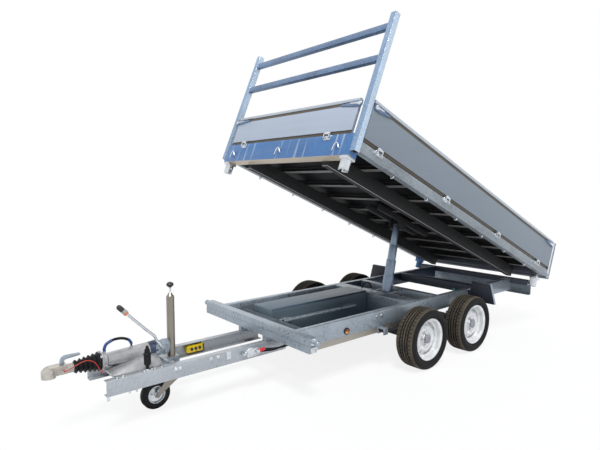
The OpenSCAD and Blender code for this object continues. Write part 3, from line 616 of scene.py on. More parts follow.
def side_fittings(bm, side):
    without_latches(bm)
    mirror = Matrix.Scale(side, 4, (0, 1, 0))
    for x, way in zip(LATCH_ENDS, (1, -1)):
        added(bm, mirror @ moved(x, BED_FACE, LATCH_LOW) @ Matrix.Scale(way, 4, (1, 0, 0)), latch, 180)


def front_fittings(bm):
    without_latches(bm)
    strap = moved(BOARD_FRONT, -598, LATCH_LOW, (-90, "Z"))
    for side in (1, -1):
        added(bm, Matrix.Scale(side, 4, (0, 1, 0)) @ strap, latch, 214)


def bed_cross_members(bm):
    """Ten open channels from rail to rail."""
    for i in range(10):
        u = 120 + i * 332.78
        outline = [(0, 0), (40, 0), (40, 4), (4, 4), (4, 34), (40, 34), (40, 38), (0, 38)]
        prism(bm, [(u + a, 150 + b) for a, b in outline], "Y", -866, 866)


def hinge_pin(bm, middle, side, half, radius, *more):
    """A round bar along the hinge line of a side board."""
    rod(bm, (middle - half, HINGE_OUT * side, HINGE_UP), (middle + half, HINGE_OUT * side, HINGE_UP), radius, *more)


def bed_side_rails(bm):
    """Folded rails, open inward, with the lugs and pins of the board hinges."""
    outline = [(0, 0), (0, 78), (-4, 78), (-4, 4), (-56, 4), (-56, 18), (-60, 18), (-60, 0)]
    for side in (1, -1):
        prism(bm, [((BED_FACE + a) * side, 110 + b) for a, b in outline], "X", -55, 3215)
        ends = sorted((BED_FACE * side, 890 * side))
        for u in HINGES:
            hinge_pin(bm, u, side, 27, 5)
            for lug in (u - 27, u + 27):
                hinge_pin(bm, lug, side, 5, 7)
                box(bm, (lug - 5, ends[0], 163), (lug + 5, ends[1], HINGE_UP))


def overrun_housing(bm):
    """A tapered barrel on a spread foot between the arms, with its flange and the two glands of the lead."""
    length = FLANGE - HOUSING_REAR
    skirt = [(-155, ARM_TOP), (155, ARM_TOP), (155, 368), (44, 430), (-44, 430), (-155, 368)]
    prism(bm, skirt, "X", HOUSING_REAR + 10, FLANGE - 16)
    for at, way in (((2798, 370), (54, 226)), ((2572, 424), (7, 110))):
        cut = cut_plane(bm, Vector((at[0], 0, at[1])) * MM, (way[0], 0, way[1]), True)
        bmesh.ops.contextual_create(bm, geom=[g for g in cut if isinstance(g, bmesh.types.BMEdge)])
    barrel = [(0, 0), (62, 0), (62, 10), (60, 14), (44, length - 30), (54, length - 20), (54, length), (0, length)]
    added(bm, moved(HOUSING_REAR, 0, 430, (90, "Y")), lathe, barrel, 48)
    prism(bm, rounded(-62, 366, 124, 122, 30), "X", FLANGE, FLANGE + 14)
    for x in (FRONT_GLAND, REAR_GLAND):
        rod(bm, (x, 0, 440), (x, 0, GLAND_TOP), 10, 24, 1.0)


def coupling_head(bm):
    """The nose of the head falls away over the ball."""
    for v in bm.verts:
        ahead = v.co.x / MM - 3118
        if ahead > 0 and v.co.z > 0.44:
            v.co.z -= (ahead / 60) ** 2 * 22 * MM


def coupling_handle(bm):
    outline = [(3046, 464), (3070, 464), *arc((3032, 480), 38, 0, 90), *arc((2956, 509), 7, 90, 270),
               *arc((3032, 480), 14, 90, 0)]
    prism(bm, outline, "Y", -11, 11)


def handbrake_lever(bm):
    """The toothed sector that holds the lever, its pivot and the tube inside the grip."""
    pivot = (2440, 446)
    outline = [(2466, 400), (2466, 470), (2452, 500), (2420, 510)]
    for i in range(7):
        tooth = 138 + 11 * i
        for radius, turn in ((82, tooth - 4), (82, tooth - 1), (73, tooth + 1), (73, tooth + 4)):
            outline += arc(pivot, radius, turn, turn, 1)[:1]
    outline += [(2372, 404), (2420, 400)]
    prism(bm, outline, "Y", 52, 60)
    prism(bm, [(2400, 420), (2452, 484), (2444, 492), (2390, 432)], "Y", 59, 70)
    for x, z in ((2392, 470), (2400, 418), (2456, 420)):
        bolt(bm, (x, 60, z), (0, 1, 0), 15)
    x, z = LEVER_PIVOT
    rod(bm, (x, 46, z), (x, 82, z), 12, 24, 1.0)
    rod(bm, (2667.4, LEVER_Y, 730.2), (2717.5, LEVER_Y, 782.0), 15, 28, 1.0)


def lead_plug(bm):
    outline = [(0, 0), (16, 0), (16, 7), (10, 11), (10, 30), (18, 37), (23, 51), (23, 58), (21.5, 60), (23, 62),
               (23, 69), (21.5, 71), (23, 73), (23, 99), (20, 106), (26, 110), (26, 117), (18, 122), (18, 140),
               (12, 150), (8, 166), (0, 170)]
    added(bm, moved(PLUG_X, 173, ARM_TOP), lathe, outline, 40)


def jockey_tube(bm):
    """The plain top becomes a neck and the turned knob of the crank."""
    bmesh.ops.delete(bm, geom=[v for v in bm.verts if v.co.z > 0.7905], context="VERTS")
    outline = [(0, 786), (28, 786), (24, 790), (9, 814), (7, 816), (7, 852), (13, 854), (25, 866), (26, 874), (20, 884),
               (8, 890), (0, 890)]
    added(bm, moved(JOCKEY_X, 0, 0), lathe, outline, 40)


def pump_cover(bm):
    outline = [(-290, 303), (-10, 303), (-10, 516), (-24, 530), (-276, 530), (-290, 516)]
    prism(bm, outline, "X", 252, 1417)


def hydraulic_valve(bm):
    """The cast body, its unions and its hand lever."""
    body = [(1724, 294), (1732, 286), (1826, 286), (1834, 294), (1834, 332), (1808, 346), (1724, 346)]
    prism(bm, body, "Y", ARM_FACE, 241)
    prism(bm, [(1684, 324), (1754, 312), (1762, 320), (1754, 330), (1688, 342)], "Y", 247, 259)
    rod(bm, (1744, 240, 321), (1744, 250, 321), 8)
    rod(bm, (1833, 218, 312), (1852, 218, 312), 13)


def pendant(bm):
    prism(bm, rounded(1984, 278, 145, 56, 12), "Y", -190, -150)


def mud_flaps(bm):
    """Flat guards with a turned rim, each with its bracket on the rail."""
    edge = [(532, 395), (568, 590), (770, 590), (820, 395)]
    for side in (1, -1):
        corners = [Vector((y * side, z)) for y, z in edge]
        prism(bm, corners, "X", -697.5, -693.5)
        for a, b in zip(corners, corners[1:]):
            step = (b - a).normalized() * 4
            inward = Vector((step.y, -step.x)) * side
            prism(bm, [a, b, b + inward, a + inward], "X", -723.5, -693.5)
        ends = sorted((532 * side, 552 * side))
        box(bm, (-697.5, ends[0], 414), (-691.5, ends[1], 498))


FORMS = {make.__name__: make for make in (
    front_board, tailgate, front_fittings, bed_cross_members, bed_side_rails, overrun_housing, coupling_head,
    coupling_handle, handbrake_lever, lead_plug, jockey_tube, pump_cover, hydraulic_valve, pendant, mud_flaps
)}
FORMS.update({
    "left_board": lambda bm: side_board(bm, 1),
    "right_board": lambda bm: side_board(bm, -1),
    "left_fittings": lambda bm: side_fittings(bm, 1),
    "right_fittings": lambda bm: side_fittings(bm, -1),
})
FORMS_ON_SOLID = {"left_fittings", "right_fittings", "front_fittings", "coupling_head", "jockey_tube"}

# Hollow sections: which end faces are open, the wall and the depth that shows
OPEN_ENDS = {
    "ladder_rack": (lambda p, n: n.z < -0.95 and p.z < 103 and abs(p.y) > 818, 3.0, 60.0),
    "rods_and_pipes": (lambda p, n: abs(n.x) > 0.95 and p.z > 400, 3.0, 80.0),
}


# Zones: which of a piece's finishes a face wears, from its middle p and its normal n


def board_zone(p, lip):
    return 1 if p.z > BEAD_LOW else 2 if p.z > GROOVE_LOW or p.z < lip else 0


def side_board_zone(p, n):
    # The recessed face of the lower lip is dark brown painted shade; its other faces wear the seam
    if p.z < 218:
        return 3 if abs(n.y) > 0.9 else 2
    return board_zone(p, 219.5)


def latch_zone(p, n):
    """Hinge knuckles and catch bosses stay bright; the straps behind them wear the rungs' blue, a painted sky
    reflection.
    """
    outward = max(abs(p.y) - BED_FACE, p.x - BOARD_FRONT)
    return 1 if p.z > 400 and outward < 8.4 else 0


def end_beam_zone(p, n):
    # The rear beam is painted shade with bright corner plates; forward of it, down-facing faces are a painted ground
    # reflection and the rest a painted sky reflection; the front stubs are bright
    if p.x < 200:
        return 3 if abs(p.y) > 869 else 2
    if p.x > 3266:
        return 3
    return 1 if n.z < -0.6 else 0


def post_zone(p, n):
    """The inside of the hollow posts lies in shade."""
    across, along = abs(p.y), p.x
    # The rungs wear their blue painted sky reflection
    if across < 815:
        return 2
    inside = 823 < across < 867 and 3218 < along < 3262
    if inside and p.z < 1190:
        return 1
    # Rounded corners wear bright zinc as a painted highlight, forward faces a painted sky reflection, and the other
    # faces a paler painted light
    corner = max(abs(n.x), abs(n.y), abs(n.z)) < 0.985
    return 3 if corner else 4 if n.x > 0.9 else 0


def member_zone(p, n):
    # Painted shade above the lower flange; the flange's underside is a painted sheen and its edges a painted highlight
    if p.z > 153.9:
        return 0
    return 2 if n.z < -0.9 else 1 if abs(n.x) > 0.3 else 0


def beam_zone(p, n):
    if 20 < abs(p.y) < 140 and -90 < p.x < 95:
        return 1
    # The rear cross beams, behind x = -400, are painted shade
    return 2 if p.x < -400 else 0


def tray_zone(p, n):
    # The outer sides wear the lightened tan, a painted light; the inside and the up and forward faces are plain tray
    # zinc
    inside = abs(p.y) < 475.5 and 242 < p.x < 1427 and p.z > 301.5
    return 1 if inside or n.x > 0.5 or n.z > 0.5 else 0


def jockey_zone(p, n):
    from_middle = math.hypot(p.x - JOCKEY_X, p.y)
    if p.z > 851:
        return 3
    if p.z > 813:
        return 2
    return 1 if p.z < 357 and from_middle > 28.5 else 0


ZONES = {
    "left_board": side_board_zone,
    "right_board": side_board_zone,
    "front_board": lambda p, n: board_zone(p, 262.5),
    "tailgate": lambda p, n: board_zone(p, 0),
    "left_fittings": latch_zone,
    "right_fittings": latch_zone,
    "front_fittings": latch_zone,
    "bed_side_rails": lambda p, n: int(abs(p.y) > 870.5),
    "bed_end_beams": end_beam_zone,
    # Painted highlight: the rounded lower edges of the main beams are light
    "bed_main_beams": lambda p, n: int(-0.97 < n.z < -0.15),
    "bed_cross_members": member_zone,
    # The far rear cup wears the blue painted sky reflection of the front plate
    "tip_cups": lambda p, n: int(p.y < 0 and p.x < 500),
    "ladder_rack": post_zone,
    # Painted shade: the far rail's inner face, behind RAIL_CUT, is dark navy
    "rails": lambda p, n: int(p.y < 0 and n.y > 0.5 and p.x < RAIL_CUT),
    "cross_beams": beam_zone,
    "overrun_housing": lambda p, n: int(p.x < HOUSING_CUT and p.z > 372 and abs(p.y) < 80),
    "jockey_tube": jockey_zone,
    "pump_tray": tray_zone,
    # Painted sky reflection: the up-facing top of the cover is blue-grey
    "pump_cover": lambda p, n: int(n.z > 0.5),
    "rods_and_pipes": lambda p, n: 0 if abs(p.y - 40) < 30 and p.z > 380 else 1,
    "mud_flaps": lambda p, n: int(abs(n.x) <= 0.9),
    "tail_lamps": lambda p, n: int(p.x < -1700.5),
    "lead_plug": lambda p, n: int(p.z < 368.5),
}

# Finish and edge rounding, in millimetres, of each carried-over solid
DRESS = [
    ("rails", ("zinc", "zinc_navy"), 3.0),
    ("cross_beams", ("zinc", "bright", "zinc_dull"), 2.0),
    ("front_beam", "zinc", 2.5),
    # Painted shade: the rear beam is dark
    ("rear_beam", "zinc_dull", 2.5),
    ("drawbar_arms", "zinc_arm", 1.5),
    ("overrun_housing", ("housing", "housing_rear"), 2.0),
    ("coupling_head", "cast", 7.0),
    ("coupling_handle", "zinc", 2.5),
    ("bellows", "rubber", 2.0),
    ("handbrake_lever", "zinc", 0.8),
    ("jockey_tube", ("jockey", "zinc", "bright", "grip"), 0.8),
    ("pump_tray", ("tray_side", "tray_in"), 0.8),
    ("pump_cover", ("tray", "tray_top"), 2.0),
    ("rods_and_pipes", ("zinc", "shade_edge"), 0.0),
    ("hydraulic_valve", "bright", 1.5),
    ("pendant", "yellow", 4.0),
    ("axles", "shade", 2.0),
    ("leaf_springs", "shade", 0.8),
    ("spring_hangers", "zinc", 1.0),
    ("mud_flaps", ("flap", "zinc"), 0.8),
    ("light_board", "zinc", 0.8),
    ("tail_lamps", ("rubber", "red_lens"), 8.0),
    ("jockey_fork", "jockey", 1.0),
    ("jockey_tyre", "rubber", 2.0),
    ("jockey_rim", "bright", 0.5),
    ("bed_floor", "underfloor", 0.8),
    ("bed_side_rails", ("zinc_rail", "bright"), 1.0),
    ("bed_end_beams", ("zinc_sky", "zinc_tan", "zinc_dull", "bright"), 1.5),
    ("bed_main_beams", ("shade", "shade_edge"), 3.0),
    ("bed_cross_members", ("shade", "shade_edge", "shade_mid"), 1.0),
    ("tip_cups", ("bright", "zinc_sky"), 1.5),
    ("ladder_rack", ("zinc_post", "shade", "zinc_rung", "bright", "zinc_face"), 6.0),
    ("lift_bracket", "shade", 2.0),
    ("left_board", ("side_panel", "trim", "seam", "panel_lip"), 1.0),
    ("right_board", ("side_panel", "trim", "seam", "panel_lip"), 1.0),
    ("front_board", ("front_panel", "trim", "seam"), 1.0),
    ("tailgate", ("side_panel", "trim", "seam"), 1.0),
    ("left_fittings", ("bright", "zinc_rung"), 0.8),
    ("right_fittings", ("bright", "zinc_rung"), 0.8),
    ("front_fittings", ("bright", "zinc_rung"), 0.8),
    ("tailgate_fittings", "bright", 1.0),
    # Painted shade: the cylinder barrel is dark
    ("lift_barrel", "zinc_dull", 1.5),
    ("lift_stage_1", "lift", 1.0),
    ("lift_stage_2", "lift", 1.0),
    ("lift_stage_3", "lift", 1.0),
    ("lift_rod", "lift", 1.0),
    ("lead_plug", ("rubber", "bright"), 0.6),
]


class TRAILER_OT_finishes(bpy.types.Operator):
    """Make the trailer's finishes"""

    bl_idname = "trailer.finishes"
    bl_label = "Finishes"

    def execute(self, context):
        make_finishes(context.scene.trailer_colours)
        return {"FINISHED"}


class TRAILER_OT_steelwork(bpy.types.Operator):
    """Round the edges of the solids and give each its finish"""

    bl_idname = "trailer.steelwork"
    bl_label = "Steelwork"

    def execute(self, context):
        for node, finish, bevel in DRESS:
            dressed(node, finish, bevel)
        return {"FINISHED"}


class TRAILER_OT_wheels(bpy.types.Operator):
    """Road tyres with their tread, and wheels with their bolts"""

    bl_idname = "trailer.wheels"
    bl_label = "Road wheels"

    def execute(self, context):
        sizes = context.scene.trailer_sizes
        for end, side in WHEELS:
            name = f"{end}_{side}"
            joint = JOINTS["spin_" + name]["pos_m"]
            out = 1 if side == "left" else -1
            place = Matrix.Translation(joint) @ Matrix.Rotation(-out * math.pi / 2, 4, "X")
            self.tyre(name, place, sizes)
            self.rim(name, place)
        return {"FINISHED"}

    def tyre(self, name, place, sizes):
        wall = [(165.8, 70), (176, 72.5), (187, 75), (190.5, 78.5), (196, 84.5), (204, 90.5), (212, 93.8),
                (220, 94.8), (228, 94.9), (231, 93.6), (234, 93.9), (240, 91.6), (246.5, 87.5), (253, 82),
                (257.5, 76.5)]
        deep = 262 - sizes.tread_depth / MM
        half = wall + [(260.2, 69), (261.4, 62), (261.8, 52)]
        for middle in (37, 13):
            half += [(262, middle + 5.5), (deep, middle + 4), (deep, middle - 4), (262.2, middle - 5.5)]
        bm = bmesh.new()
        lathe(bm, half + [(r, -y) for r, y in reversed(half)], sizes.tread_steps)
        step = math.tau / sizes.tread_steps
        ribs = []
        for f in bm.faces:
            mid = f.calc_center_median()
            flat, across = math.hypot(mid.x, mid.y), abs(mid.z) / MM
            f.material_index = 1 if flat > 0.2545 and (flat > 0.2612 or across > 60) else 0
            turn = int((math.atan2(mid.y, mid.x) % math.tau) / step + (0 if across > 38 else 2))
            if flat > 0.2605 and turn % 5 == 0 and (43 < across < 71 or 19 < across < 31):
                ribs.append(f)
        bmesh.ops.inset_region(bm, faces=ribs, thickness=0.0004, depth=-0.005, use_even_offset=True)
        for f in ribs:
            f.material_index = 0
        piece(f"tyre_{name}_treaded", bm, ("sidewall", "tread"), "wheel_" + name,
              ("tyre_" + name,), place, 30.0)

    def hub_zone(self, p, n):
        """The hub cap and the drum behind the disc are dark."""
        from_axle = math.hypot(p.x, p.y)
        return 1 if from_axle < 39 and p.z > 34.5 or from_axle < 118 and p.z < 20 else 0

    def rim(self, name, place):
        dressed("rim_" + name, ("wheel", "hub"), 0.6, 40.0, zone=self.hub_zone, place=place)
        bm = bmesh.new()
        for i in range(5):
            a = math.tau * i / 5
            at = Vector((56 * math.cos(a), 56 * math.sin(a), 34))
            rod(bm, at, at + Vector((0, 0, 5)), 13, 20, 1.5)
            rod(bm, at + Vector((0, 0, 4)), at + Vector((0, 0, 17)), 9.8, 6, 1.2)
        rod(bm, (128, 0, 16), (134, 0, 34), 4, 12, 1)
        fitting(f"wheel_bolts_{name}", bm, place=place, body="wheel_" + name)


# Cords


def smooth_route(points, steps):
    """Points along a smooth line through given ones."""
    points, line = [Vector(p) for p in points], []
    last = len(points) - 1
    for i in range(last):
        a, b, c, d = (points[min(max(k, 0), last)] for k in (i - 1, i, i + 1, i + 2))
        for j in range(steps):
            s = j / steps
            line.append(0.5 * (2 * b + (c - a) * s + (2 * a - 5 * b + 4 * c - d) * s ** 2
                               + (3 * b - a - 3 * c + d) * s ** 3))
    return line + [points[last]]


def tube_curve(name, lines, radius, finish, body, place=CHASSIS):
    """Round bars along lines of points, in millimetres of the chassis or the bed."""
    curve = bpy.data.curves.new(name, "CURVE")
    curve.dimensions = "3D"
    curve.bevel_depth, curve.bevel_resolution, curve.use_fill_caps = radius * MM, 5, True
    for line in lines:
        spline = curve.splines.new("POLY")
        spline.points.add(len(line) - 1)
        for point, at in zip(spline.points, line):
            point.co = (*(place @ (at * MM)), 1)
    curve.materials.append(FINISHES[finish])
    made = bpy.data.objects.new(name, curve)
    bpy.context.scene.collection.objects.link(made)
    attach(made, body)
    return made


# Routes of the cords, in millimetres from the middle of the axles
CABLE_ROUTE = [
    (2828, 62, 380), (2836, 62, 380), (2844, 62, 380), (2878, 72, 450), (2938, 66, 476), (3045, 58, 436),
    (3055, 46, 434), (3055, 39, 434), (3055, 32, 434),
]
LEAD_ROUTE = [
    *((FRONT_GLAND, 0, GLAND_TOP + z) for z in (0, 8, 16)),
    (2784, 0, 534), (2746, 0, 552), (2708, 0, 556), (2670, 0, 550), (2634, 0, 532),
    *((REAR_GLAND, 0, GLAND_TOP + z) for z in (16, 8, 0)),
]
COVER_HOSE_ROUTE = [
    (300, -30, 530),
    *((232 + 68 * math.cos(math.pi * i / 24), -30, 540 + 68 * math.sin(math.pi * i / 24)) for i in range(25)),
    (164, -30, 508),
]


def valve_hose_route(i):
    y, z = 215 + 18 * i, 300 + 24 * i
    far = 275 + 20 * i
    return [(1724, y, z), (1709, y, z), (1694, y, z), (1594, 255 + 20 * i, 304 + 14 * i),
            (1489, far, 324), (1459, far, 324), (1429, far, 324)]


class TRAILER_OT_cords(bpy.types.Operator):
    """Breakaway cable, lighting lead and hydraulic hoses"""

    bl_idname = "trailer.cords"
    bl_label = "Cords and hoses"

    def execute(self, context):
        self.cord("breakaway_line", "breakaway_cable", CABLE_ROUTE, 4, 3.0, "red_cable", "limp")
        sleeves = [(0, 13, "blue_sleeve", 4.0), (12, 21, "rubber", 3.2), (20, 26, "blue_sleeve", 3.6)]
        self.cord("lighting_lead", None, LEAD_ROUTE, 3, 6.0, "rubber", "medium", sleeves)
        for i in range(2):
            self.cord(f"valve_hose_{i + 1}", "hoses", valve_hose_route(i), 4, 7.0, "rubber", "stiff", ends=True)
        self.cord("cover_hose", None, COVER_HOSE_ROUTE, 1, 7.0, "rubber", "stiff", ends=True)
        return {"FINISHED"}

    def cord(self, name, node, route, steps, radius, finish, stiffness, sleeves=(), ends=False):
        """A cord, in place of its CAD node where it has one."""
        line = smooth_route(route, steps)
        made = tube_curve(name, [line], radius, finish, "chassis")
        if node:
            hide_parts(node)
        extra = [
            tube_curve(f"{name}_sleeve_{i + 1}", [line[a:b]], radius + more, kind, "chassis")
            for i, (a, b, kind, more) in enumerate(sleeves)
        ]
        if ends:
            bm = bmesh.new()
            for at, nearby in ((line[0], line[1]), (line[-1], line[-2])):
                way = (nearby - at).normalized()
                rod(bm, at + way * 0.4, at + way * 12, radius + 5, 6, 1.0)
                rod(bm, at + way * 11, at + way * 26, radius + 2.2, 20, 1.0)
            extra.append(fitting(name + "_fittings", bm))
        length = sum((b - a).length for a, b in zip(line, line[1:])) * MM
        CHASSIS @ (line[0] * MM)


class TRAILER_OT_drawbar(bpy.types.Operator):
    """Bolts, grips and small plates of the drawbar"""

    bl_idname = "trailer.drawbar"
    bl_label = "Drawbar details"

    def execute(self, context):
        size = context.scene.trailer_sizes.bolt / MM
        self.bolts(size)
        self.grip()
        self.pendant_buttons()
        self.valve_trim()
        return {"FINISHED"}

    def bolts(self, size):
        bm = bmesh.new()
        for y in (-44, 44):
            for z in (383, 471):
                bolt(bm, (2828, y, z), (1, 0, 0), size * 0.9)
        for side in (1, -1):
            for x in (2060, 2118):
                bolt(bm, (x, ARM_FACE * side, 334), (0, side, 0), size)
            for x in (2480, 2530, 2742, 2780):
                bolt(bm, (x, 176 * side, ARM_TOP), (0, 0, 1), size)
            for x in (2360, 2390):
                bolt(bm, (x, ARM_FACE * side, 326), (0, side, 0), size)
        fitting("drawbar_bolts", bm)
        bm = bmesh.new()
        box(bm, (PLUG_X - 34, 157.5, ARM_TOP), (PLUG_X + 34, 194, ARM_TOP + 5), 1.5)
        box(bm, (1952, ARM_FACE, 297), (1992, ARM_FACE + 7, 355), 1.5)
        for x, wide, low in ((2832, 18, 226), (2698, 14, 238), (2652, 14, 238)):
            box(bm, (x, 180, low), (x + wide, 188, 257), 2.0)
        fitting("drawbar_plates", bm)
        bm = bmesh.new()
        for x in (PLUG_X - 26, PLUG_X + 26):
            bolt(bm, (x, 185, ARM_TOP + 5), (0, 0, 1), size * 0.8)
        fitting("plug_holder_bolts", bm)

    def grip(self):
        x, z = LEVER_GRIP
        place = CHASSIS @ moved(x, LEVER_Y, z, (44, "Y"))
        outline = [(15.2, 8)]
        for i in range(6):
            outline += [(17.4, 10 + 9 * i), (17.4, 16 + 9 * i), (16.2, 17.2 + 9 * i), (16.2, 18.4 + 9 * i)]
        outline += [(17.4, 66), (11.5, 76.5), (0.4, 78), (0.4, 75), (10.4, 74.3), (15.2, 66)]
        bm = bmesh.new()
        lathe(bm, outline, 32)
        for f in bm.faces:
            f.material_index = 1 if f.calc_center_median().z < 0.034 else 0
        fitting("lever_grip", bm, ("grip", "shade_edge"), place)
        bm = bmesh.new()
        lathe(bm, [(15.2, -7), (17.2, -6), (17.6, 0), (17.2, 7), (15.2, 7.8)], 32)
        fitting("lever_band", bm, "band", place)

        bends = [LEVER_PIVOT, (2446, 484), (2468, 512), (2486, 548), (2540, 600), LEVER_GRIP]
        route = [(x, LEVER_Y, z) for x, z in bends]
        tube_curve("lever_bar", [smooth_route(route, 6)], 10.0, "bright", "chassis")

    def pendant_buttons(self):
        bm = bmesh.new()
        face = -150
        for x in (2022, 2056, 2090):
            rod(bm, (x, face - 2, 306), (x, face + 5, 306), 12, 24, 1.5)
        box(bm, (1983, face - 38, 282), (1996, face + 1, 330), 2.0)
        fitting("pendant_buttons", bm, "grip")

    def valve_trim(self):
        bm = bmesh.new()
        for x, z in ((1752, 298), (1752, 332), (1812, 298), (1812, 332)):
            rod(bm, (x, 240, z), (x, 247, z), 6.5, 20, 1.0)
        rod(bm, (1852, 218, 312), (1864, 218, 312), 17, 6, 1.2)
        fitting("valve_screws", bm)
        bm = bmesh.new()
        added(bm, moved(1748, 0, 320, (9.7, "Y")), box, (-62, 245, -11), (-14, 261, 13), 5.0, 3)
        fitting("valve_lever_grip", bm, "red")


class TRAILER_OT_lamps(bpy.types.Operator):
    """Side markers, end lamps and tail lamps"""

    bl_idname = "trailer.lamps"
    bl_label = "Lamps"

    def execute(self, context):
        dressed("marker_lamps", "rubber", 0.0)
        for name, side in SIDES:
            self.marker(name, side)
            self.end_lamp(name, side)
            self.tail_lamp(name, side)
        return {"FINISHED"}

    def marker(self, name, side):
        place = CHASSIS @ moved(1084, 541 * side, 414.2, (-90 * side, "X"))
        bm = bmesh.new()
        lathe(bm, [(23, -3), (27.8, -3), (27.8, 1.5), (25.8, 3.4), (23, 3.4)], 48)
        fitting(f"marker_bezel_{name}", bm, "rubber", place)
        bm = bmesh.new()
        lathe(bm, [(0.3, 7.4), (8, 7.1), (16, 5.6), (21, 3.2), (23.2, 0.2), (0.3, 0.2)], 48)
        for f in bm.faces:
            f.material_index = 1 if f.calc_center_median().y * side > 0 else 0
        fitting(f"marker_lens_{name}", bm, ("dark_lens", "amber"), place)

    def end_lamp(self, name, side):
        place = CHASSIS @ moved(BALLS[0], 0, 426)
        at = abs(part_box("marker_lamps")[1][1]) / MM * side
        bm = bmesh.new()
        self.oval(bm, at, -5 * side, 33, 21, 12 * side)
        ring = max((f for f in bm.faces if abs(f.normal.y) > 0.9), key=lambda f: f.calc_center_median().y * side)
        bmesh.ops.inset_region(bm, faces=[ring], thickness=0.0055, depth=-0.003, use_even_offset=True)
        ring.material_index = 1
        fitting(f"end_lamp_{name}", bm, ("bright", "clear"), place)

    def oval(self, bm, at, start, half, high, depth):
        made = bmesh.ops.create_circle(bm, cap_ends=True, segments=48, radius=high * MM)
        for v in made["verts"]:
            v.co.x += math.copysign((half - high) * MM, v.co.x) if abs(v.co.x) > 1e-7 else 0
        bmesh.ops.rotate(bm, verts=bm.verts, cent=(0, 0, 0), matrix=Matrix.Rotation(math.pi / 2, 3, "X"))
        bmesh.ops.translate(bm, verts=bm.verts, vec=(0, (at + start) * MM, 0))
        pulled = bmesh.ops.extrude_face_region(bm, geom=list(bm.faces))["geom"]
        ends = [g for g in pulled if isinstance(g, bmesh.types.BMVert)]
        bmesh.ops.translate(bm, verts=ends, vec=(0, depth * MM, 0))
        bmesh.ops.recalc_face_normals(bm, faces=bm.faces)

    def tail_lamp(self, name, side):
        low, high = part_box("tail_lamps")
        face = low[0] / MM - AXLE_X / MM
        outer = abs(high[1]) / MM - 6
        for i, (finish, wide) in enumerate((("amber", 66), ("red_lens", 74), ("clear", 50))):
            inner = outer - wide
            ends = sorted((outer * side, inner * side))
            bm = bmesh.new()
            box(bm, (face - 3, ends[0] + 1, 357), (face + 2, ends[1] - 1, 434), 2.0)
            fitting(f"tail_lens_{name}_{i + 1}", bm, finish)
            outer = inner


class TRAILER_OT_chassis_fittings(bpy.types.Operator):
    """Rivets, bolts, seams and collars of the chassis"""

    bl_idname = "trailer.chassis_fittings"
    bl_label = "Chassis fittings"

    def execute(self, context):
        sizes = context.scene.trailer_sizes
        self.rivets(sizes.rivet / MM)
        self.bolts(sizes.bolt / MM)
        self.seams()
        self.collars()
        self.spring_clamps()
        return {"FINISHED"}

    def spring_clamps(self):
        """Two plates and four rods hold each spring down on its axle."""
        bm = bmesh.new()
        for x, y in SPRINGS:
            for z in (219.5, 329.5):
                box(bm, (x - 47, y - 42, z), (x + 47, y + 42, z + 8), 1.0)
            for dx in (-41, 41):
                for dy in (-36, 36):
                    rod(bm, (x + dx, y + dy, 213), (x + dx, y + dy, 344), 5, 16)
        fitting("spring_clamps", bm, "shade")

    def rivets(self, size):
        bm = bmesh.new()
        for side in (1, -1):
            for i in range(15):
                at = Vector((300 + i * 76, 477 * side, 360))
                rod(bm, at, at + Vector((0, 2.4 * side, 0)), size * 0.5, 12, 0.9)
        fitting("tray_rivets", bm)

    def bolts(self, size):
        bm = bmesh.new()
        for side in (1, -1):
            for x in (-1480, -500, -76, 40, 120, 210, 1330, 1480):
                rod(bm, (x, RAIL_MIDDLE * side, RAIL_TOP), (x, RAIL_MIDDLE * side, RAIL_TOP + 2), size * 0.6, 20, 0.8)
            for x in (-1150, -1090, 660, 720):
                bolt(bm, (x, RAIL_FACE * side, 470), (0, side, 0), size * 0.9)
        fitting("chassis_bolts", bm)
        bm = bmesh.new()
        rod(bm, (-542, 459, 478), (-542, 459, 524), 9, 24, 3)
        box(bm, (-554, 458, 480), (-530, 477.5, 496), 2.0)
        fitting("rail_plug", bm, "teal")

    def seams(self):
        low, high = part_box("front_beam")
        ahead = high[0] / MM - AXLE_X / MM
        behind = low[0] / MM - AXLE_X / MM
        bm = bmesh.new()
        box(bm, (behind - 0.3, -720.3, 453.2), (ahead + 0.3, 720.3, 454.8), 0.2, 1)
        fitting("front_beam_seam", bm, "seam")

    def collars(self):
        bm = bmesh.new()
        for x in BALLS:
            for side in (1, -1):
                start = Vector((x, 719.5 * side, BALL_LEVEL))
                rod(bm, start, start + Vector((0, 4 * side, 0)), 26, 32, 1.0)
        fitting("ball_collars", bm)


